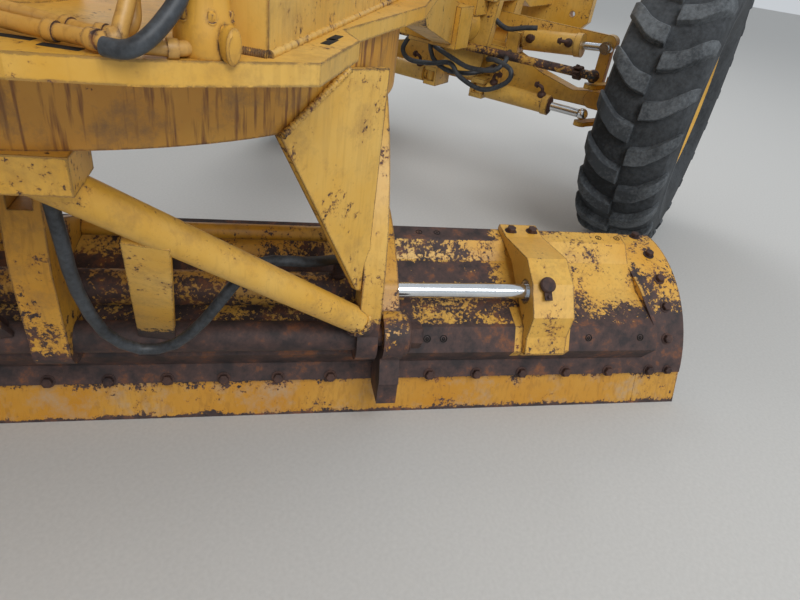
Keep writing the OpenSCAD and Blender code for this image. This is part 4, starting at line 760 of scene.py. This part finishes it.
def fit_out(p, q, r, near, far, rod, up, body, name):
    """Port bosses with elbows near both ends of a cylinder's tube, and a gland nut round its rod."""
    p, q = Vector(p), Vector(q)
    way = (q - p).normalized()
    up = (Vector(up) - way * way.dot(Vector(up))).normalized()
    parts = []
    for reach, bend in ((near, 1), (far, -1)):
        foot = p + way * reach + up * (r - 0.004)
        parts.append(copies(boss, [stand(foot, up)], "boss"))
        turn = smooth_path([foot + up * 0.02, foot + up * 0.04, foot + up * 0.052 + way * 0.01 * bend,
                            foot + up * 0.056 + way * 0.03 * bend], 10)
        parts.append(solid(line("elbow", turn, 0.0085)))
        parts.append(copies(bolt_head, [stand(foot + up * 0.056 + way * 0.026 * bend, way * bend, 0.013)],
                            "nut"))
    end = p + way * (far + 0.047)
    parts.append(copies(gland, [stand(end, way) @ Matrix.Diagonal((rod * 1.62, rod * 1.62, rod, 1))],
                        "gland"))
    dress(joined(parts, name), body, *STEEL)


boss = lathe("boss", ((0, -0.006), (0.019, -0.006), (0.021, 0), (0.021, 0.014), (0.018, 0.018),
                      (0.012, 0.024), (0, 0.024)), 24)
gland = lathe("gland", ((0.66, -0.3), (1.24, -0.3), (1.3, -0.22), (1.3, 0.18), (1.22, 0.28), (1.0, 0.34),
                        (0.8, 0.5), (0.66, 0.5)), 32)
for side, word in SIDES:
    fit_out(machine(TIE_X, side * 0.15, STEER_Z), machine(TIE_X, side * BALL_Y, STEER_Z), 0.044, 0.075, 0.343,
            0.02, (-0.35, 0, 1), f"steer_barrel_{word}", f"steer_fittings_{word}")
    fit_out(machine(0.06, side * 0.678, 2.18), machine(-0.18, side * 0.678, 1.208), 0.055, -0.385, 0.3, 0.025,
            (1, 0, 0.25), f"lift_barrel_{word}", f"lift_fittings_{word}")
fit_out(machine(2.32, -0.235, 0.835), machine(2.32, -0.7, 0.88), 0.052, 0.085, 0.29, 0.019, (-1, 0, 0.2),
        "lean_barrel", "lean_fittings")
fit_out(machine(0.35, 0.25, 1.47), machine(0.35, -0.50442, 1.215), 0.045, 0.11, 0.452, 0.022, (-1, 0, 0.5),
        "shift_barrel", "shift_fittings")

# Hoses looped before the axle's middle, and one down to the lean cylinder
LOOPS = ((((2.2, 0.26, 0.8), (2.13, 0.28, 0.78), (2.07, 0.29, 0.745), (2.06, 0.303, 0.691),
           (2.06, 0.252, 0.652), (2.06, 0.127, 0.66), (2.06, 0.01, 0.685), (2.055, -0.061, 0.632),
           (2.05, -0.203, 0.6), (2.055, -0.32, 0.66), (2.06, -0.33, 0.722), (2.08, -0.235, 0.748),
           (2.13, -0.17, 0.735), (2.24, -0.13, 0.725)), 0.0125),
         (((2.24, 0.15, 0.7), (2.15, 0.16, 0.735), (2.075, 0.11, 0.742), (2.05, 0.0, 0.715),
           (2.045, -0.11, 0.69), (2.05, -0.24, 0.705), (2.09, -0.28, 0.752), (2.19, -0.24, 0.765),
           (2.29, -0.22, 0.77)), 0.0125),
         (((2.235, -0.095, 1.04), (2.222, -0.058, 0.993), (2.218, -0.11, 0.93), (2.215, -0.2, 0.885),
           (2.215, -0.3, 0.905), (2.225, -0.36, 0.915)), 0.0125))
loops = [solid(line("loop", smooth_path([machine(*place) for place in places], 72), radius))
         for places, radius in LOOPS]
dress(joined(loops, "axle_loops"), "front_frame", hose_rubber, "hose")

# End of the blade's hose: a crimped ferrule and a swivel nut on the side barrel's port
barrel_top = TO_BLADE @ Vector((0.07, -0.635, 0.45))
swivel = lathe("swivel", ((0, 0), (0.021, 0), (0.023, 0.004), (0.023, 0.012), (0.017, 0.015), (0.017, 0.031),
                          (0.0155, 0.033), (0.0155, 0.0485), (0, 0.0485)), 24)
dress(copies(swivel, [Matrix.Translation(barrel_top)], "hose_port"), "cradle", *STEEL)

# Hydraulic pipes along the gooseneck's sides, in clamps
for side, word in SIDES:
    parts = []
    for z in (1.735, 1.775, 1.815):
        run = [machine(x, side * 0.157, z) for x in (-0.62, 0.98)]
        parts.append(solid(line("pipe", run, 0.0125)))
    for x in (-0.5, 0.3, 0.85):
        parts.append(block("clamp", machine(x, side * 0.16, 1.775) - Vector((0.02, 0.0195, 0.065)),
                           machine(x, side * 0.16, 1.775) + Vector((0.02, 0.0145, 0.065)), 0.004))
    parts.append(copies(bolt_head, [stand(machine(x, side * 0.1735, z), (0, side, 0), 0.009)
                                    for x in (-0.5, 0.3, 0.85) for z in (1.755, 1.795)], "bolts"))
    dress(joined(parts, f"beam_pipes_{word}"), "front_frame", yellow_clean, "paint")


# Cab: cushions, glass in the doors, rubber seals, wiper and lamps
def cushion(name, low, high, levels):
    """A padded block: rounded rings at shares of its height, each set in by so much."""
    low, high = Vector(low), Vector(high)
    mid, half = (low + high) / 2, (high - low) / 2
    rings = []
    for share, inset in levels:
        ring = []
        for i in range(32):
            a = i * tau / 32
            c, s = cos(a), sin(a)
            ring.append((mid.x + copysign(abs(c) ** 0.42, c) * (half.x - inset),
                         mid.y + copysign(abs(s) ** 0.42, s) * (half.y - inset),
                         low.z + share * (high.z - low.z)))
        rings.append(ring)
    return sweep(name, rings)


CROWN = ((0, 0.022), (0.06, 0.006), (0.3, 0), (0.62, 0.002), (0.72, 0.008), (0.78, 0.016), (0.81, 0.021),
         (0.79, 0.026), (0.86, 0.034), (0.93, 0.056), (0.97, 0.09), (0.99, 0.13), (1, 0.17))
seat_x = MIDDLE.x - 1.6
pad = cushion("pad", (seat_x - 0.225, MID_Y - 0.238, 2.052), (seat_x + 0.248, MID_Y + 0.238, 2.168), CROWN)
back = cushion("back", (-0.28, -0.218, 0.0), (0.28, 0.218, 0.118), CROWN)
back.data.transform(Matrix.Translation((seat_x - 0.222, MID_Y, 2.445)) @ rotated(-4, "Y") @ rotated(-90, "Y")
                    @ rotated(180) @ Matrix.Translation((0, 0, -0.118)))
seams = []
for y in (0.075, -0.075):
    run = [Vector((seat_x + 0.012 + t * 0.34, MID_Y + y, 2.1665 - 0.005 * (2 * t) ** 4))
           for t in (i / 20 - 0.5 for i in range(21))]
    seams.append(solid(line("seam", run, 0.0035)))
post = lathe("post", ((0, 0.002), (0.118, 0.002), (0.12, 0.012), (0.104, 0.02), (0.112, 0.034), (0.096, 0.05),
                      (0.11, 0.066), (0.094, 0.084), (0.108, 0.102), (0.094, 0.122), (0.108, 0.142),
                      (0.098, 0.162), (0.112, 0.182), (0.118, 0.205), (0.118, 0.248), (0, 0.248)), 40)
post.data.transform(Matrix.Translation((seat_x, MID_Y, 1.802)))
soft = dress(joined([pad, back, *seams], "seat_cushions"), "front_frame", seat_vinyl, "fabric", 60)
dress(post, "front_frame", cab_plastic, "plastic")
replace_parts(soft, "seat")

# Windows: axis across the wall, the wall's place on it, reach along the wall and heights
CAB_WINDOWS = [("x", -0.75, -0.675, 0.675, 2.23, 3.17), ("x", -1.93, -0.675, 0.675, 2.23, 3.17),
               ("x", -0.75, 0.19, 0.675, 1.87, 2.18), ("x", -0.75, -0.675, -0.19, 1.87, 2.18)]
CAB_WINDOWS += [("y", s * 0.75, -1.845, -1.66, 2.23, 3.17) for s in (-1, 1)]
DOOR_WINDOWS = [("y", 0.75, -1.54, -0.885, 2.23, 3.135), ("y", 0.75, -1.54, -0.885, 1.89, 2.17)]


def seal(axis, at, low, high, z0, z1):
    """A rubber seal round a window, on the wall's outer face."""
    loop = []
    r = 0.028
    corners = ((high - r, z1 - r), (low + r, z1 - r), (low + r, z0 + r), (high - r, z0 + r))
    for (cx, cz), start in zip(corners, (0, 90, 180, 270)):
        for i in range(7):
            a = radians(start + 15 * i)
            across, z = cx + r * cos(a), cz + r * sin(a)
            loop.append(machine(at, across, z) if axis == "x" else machine(across, at, z))
    return solid(line("seal", loop, 0.013, closed=True))


dress(joined([seal(*window) for window in CAB_WINDOWS], "window_seals"), "front_frame", hose_rubber,
      "plastic")
for side, word in SIDES:
    rubber = [seal(axis, side * at, *rest) for axis, at, *rest in DOOR_WINDOWS]
    dress(joined(rubber, f"door_seals_{word}"), f"door_{word}", hose_rubber, "plastic")
    panes = [block("pane", machine(low + 0.001, side * 0.73 - 0.003, z0 + 0.001),
                   machine(high - 0.001, side * 0.73 + 0.003, z1 - 0.001), 0.0015)
             for axis, at, low, high, z0, z1 in DOOR_WINDOWS]
    dress(joined(panes, f"door_glass_{word}"), f"door_{word}", window_glass, "glass")

arm = solid(line("arm", [machine(-0.738, 0.26, 2.215), machine(-0.722, 0.26, 2.26),
                         machine(-0.726, 0.1, 2.62)], 0.006))
blade = block("blade", machine(-0.748, 0.092, 2.33), machine(-0.728, 0.104, 2.93), 0.003)
hub = lathe("hub", ((0, 0), (0.022, 0), (0.022, 0.014), (0.016, 0.022), (0, 0.024)), 24)
hub.data.transform(stand(machine(-0.75, 0.26, 2.208), (1, 0, 0)))
dress(joined([arm, blade, hub], "wiper"), "front_frame", cab_plastic, "plastic")

lens = lathe("lens", ((0, -0.002), (0.06, -0.002), (0.061, 0.002), (0.055, 0.006), (0.047, 0.005),
                      (0.039, 0.009), (0.031, 0.008), (0.023, 0.0115), (0.012, 0.0115), (0, 0.013)), 40)
bezel = lathe("bezel", ((0.058, -0.006), (0.073, -0.006), (0.0745, -0.002), (0.0735, 0.008), (0.069, 0.012),
                        (0.063, 0.011), (0.0605, 0.005), (0.058, 0.003)), 40)
fronts = [stand(machine(1.137, side * 0.5, 2.18), (1, 0, 0)) for side in (-1, 1)]
fronts += [stand(machine(-0.653, side * 0.48, 3.1847), (1, 0, 0)) for side in (-1, 1)]
dress(copies(lens, fronts, "lamp_lenses"), "front_frame", lamp_glass, "glass")
dress(copies(bezel, fronts, "lamp_bezels"), "front_frame", *STEEL)
tails = [stand(machine(-5.37, side * 0.435, 1.29), (-1, 0, 0), 0.72) for side in (-1, 1)]
dress(copies(lens, tails, "tail_lenses"), "rear_body", red_lens, "glass")
dress(copies(bezel, tails, "tail_bezels"), "rear_body", *STEEL)

# Hood: strips between its doors, their handles, rain cap of the exhaust and rings of the air inlet
panel_parts = []
hardware = []
for side in (-1, 1):
    for x in (-2.36, -2.92, -3.54, -4.16, -4.78):
        panel_parts.append(block("strip", machine(x, side * 0.5, 1.19) - Vector((0.016, 0.003, 0)),
                                 machine(x, side * 0.5, 2.08) + Vector((0.016, 0.007, 0)), 0.003))
        if x > -4.7:
            for z in (1.29, 1.95):
                grip = ((0.1, 0.5), (0.1, 0.528), (0.14, 0.532), (0.2, 0.532), (0.24, 0.528), (0.24, 0.5))
                handle = smooth_path([machine(x - back_by, side * y, z) for back_by, y in grip], 20)
                hardware.append(solid(line("handle", handle, 0.008)))
    panel_parts.append(block("rail", machine(-4.8, side * 0.5, 2.085) - Vector((0, 0.003, 0)),
                             machine(-2.34, side * 0.5, 2.115) + Vector((0, 0.007, 0)), 0.003))
dress(joined(panel_parts, "hood_strips"), "rear_body", yellow_clean, "paint")
dress(joined(hardware, "hood_handles"), "rear_body", *STEEL)
stack_x, inlet_x = -2.235 - 0.9, -2.235 - 0.5
flap = lathe("flap", ((0, 0), (0.056, 0), (0.058, 0.004), (0.052, 0.01), (0.02, 0.018), (0, 0.019)), 36)
flap.data.transform(Matrix.Translation((-0.052, 0, 0)) @ rotated(-24, "Y") @ Matrix.Translation((0.052, 0, 0)))
stack_ring = lathe("stack_ring", ((0.0495, -0.03), (0.056, -0.03), (0.058, -0.026), (0.058, -0.006),
                                  (0.056, -0.002), (0.0495, -0.002)), 36)
weight = block("weight", (-0.105, -0.014, 0.01), (-0.06, 0.014, 0.022), 0.003)
cap = joined([flap, stack_ring, weight], "rain_cap")
cap.data.transform(Matrix.Translation(machine(stack_x, 0.18, 3.052)))
rings = []
for z in (2.585, 2.705):
    rings.append(lathe("ring", ((0.108, -0.006), (0.115, -0.006), (0.117, 0), (0.115, 0.006), (0.108, 0.006)),
                       48))
    rings[-1].data.transform(Matrix.Translation(machine(inlet_x, -0.2, z)))
knob_top = lathe("knob_top", ((0, 0), (0.03, 0), (0.034, 0.006), (0.022, 0.014), (0.018, 0.03),
                              (0.024, 0.036), (0.02, 0.044), (0, 0.046)), 24)
knob_top.data.transform(Matrix.Translation(machine(inlet_x, -0.2, 2.709)))
dress(joined([cap, *rings, knob_top], "stack_cap"), "rear_body", *STEEL)

# Tandem cases: bolted covers
cover = lathe("cover", ((0, 0), (0.128, 0), (0.131, 0.004), (0.131, 0.01), (0.126, 0.014), (0.06, 0.016),
                        (0.054, 0.024), (0, 0.025)), 40)
cover_bolts = bolt_ring(bolt_head, 0.11, 8, 0.0135, 0.01, "cover_bolts")
tandem_cover = joined([cover, cover_bolts], "tandem_cover")
places = [stand(machine(-3.77, side * 0.8, 0.76), (0, side, 0)) for side in (-1, 1)]
dress(copies(tandem_cover, places, "tandem_covers"), "rear_body", yellow_clean, "paint")

# Steps: a row of gripping holes in each tread
# The grips are near-black cups: painted shade in the holes
tread = lathe("tread", ((0.2, 0.004), (0.2, -0.15), (1.0, -0.15), (1.0, 0.22), (0.9, 0.26), (0.8, 0.2)), 16)
holes = [Matrix.Translation(machine(x, side * y, z)) @ Matrix.Scale(0.014, 4) for side in (-1, 1)
         for z in (0.59, 0.89, 1.19) for y in (0.865, 0.915) for x in (-1.855, -1.795, -1.735)]
dress(copies(tread, holes, "step_grips"), "front_frame", painted_shade_recess, "paint_dark")

# The shapes that were only copied go
for master in (tie_clamp, boot, boss, gland, swivel, lens, bezel, tandem_cover, tread, bolt_head, stud_nut,
               band, hole, slot_hole, pin_group, casting):
    bpy.data.objects.remove(master)

# Floor and light
bpy.ops.mesh.primitive_plane_add(size=60, location=(0, 0, 0))
floor = bpy.context.object
floor.name = "floor"
pale, tree, place = blank("pale_floor")
tone = blend(tree, noise(tree, place, 90.0, 3.0), rgb("#b9b8b5"), rgb("#c9c8c5"))
principled(pale, tree, {"Base Color": tone, "Roughness": 0.9})
floor.data.materials.append(pale)

world = bpy.data.worlds.new("soft_sky")
bpy.context.scene.world = world
world.use_nodes = True
world.node_tree.nodes["Background"].inputs["Color"].default_value = rgb("#e6ebf0")
world.node_tree.nodes["Background"].inputs["Strength"].default_value = 0.72
for name, place, size, power in (("key", (-2.5, -6.5, 7.5), 5.0, 560), ("fill", (7.0, 5.0, 6.5), 5.0, 260)):
    lamp = bpy.data.objects.new(name, bpy.data.lights.new(name, "AREA"))
    bpy.context.scene.collection.objects.link(lamp)
    lamp.data.size = size
    lamp.data.energy = power
    lamp.location = place
    lamp.rotation_euler = (Vector((1.2, 0, 0.4)) - Vector(place)).to_track_quat("-Z", "Y").to_euler()
bpy.context.scene.view_settings.view_transform = "Standard"
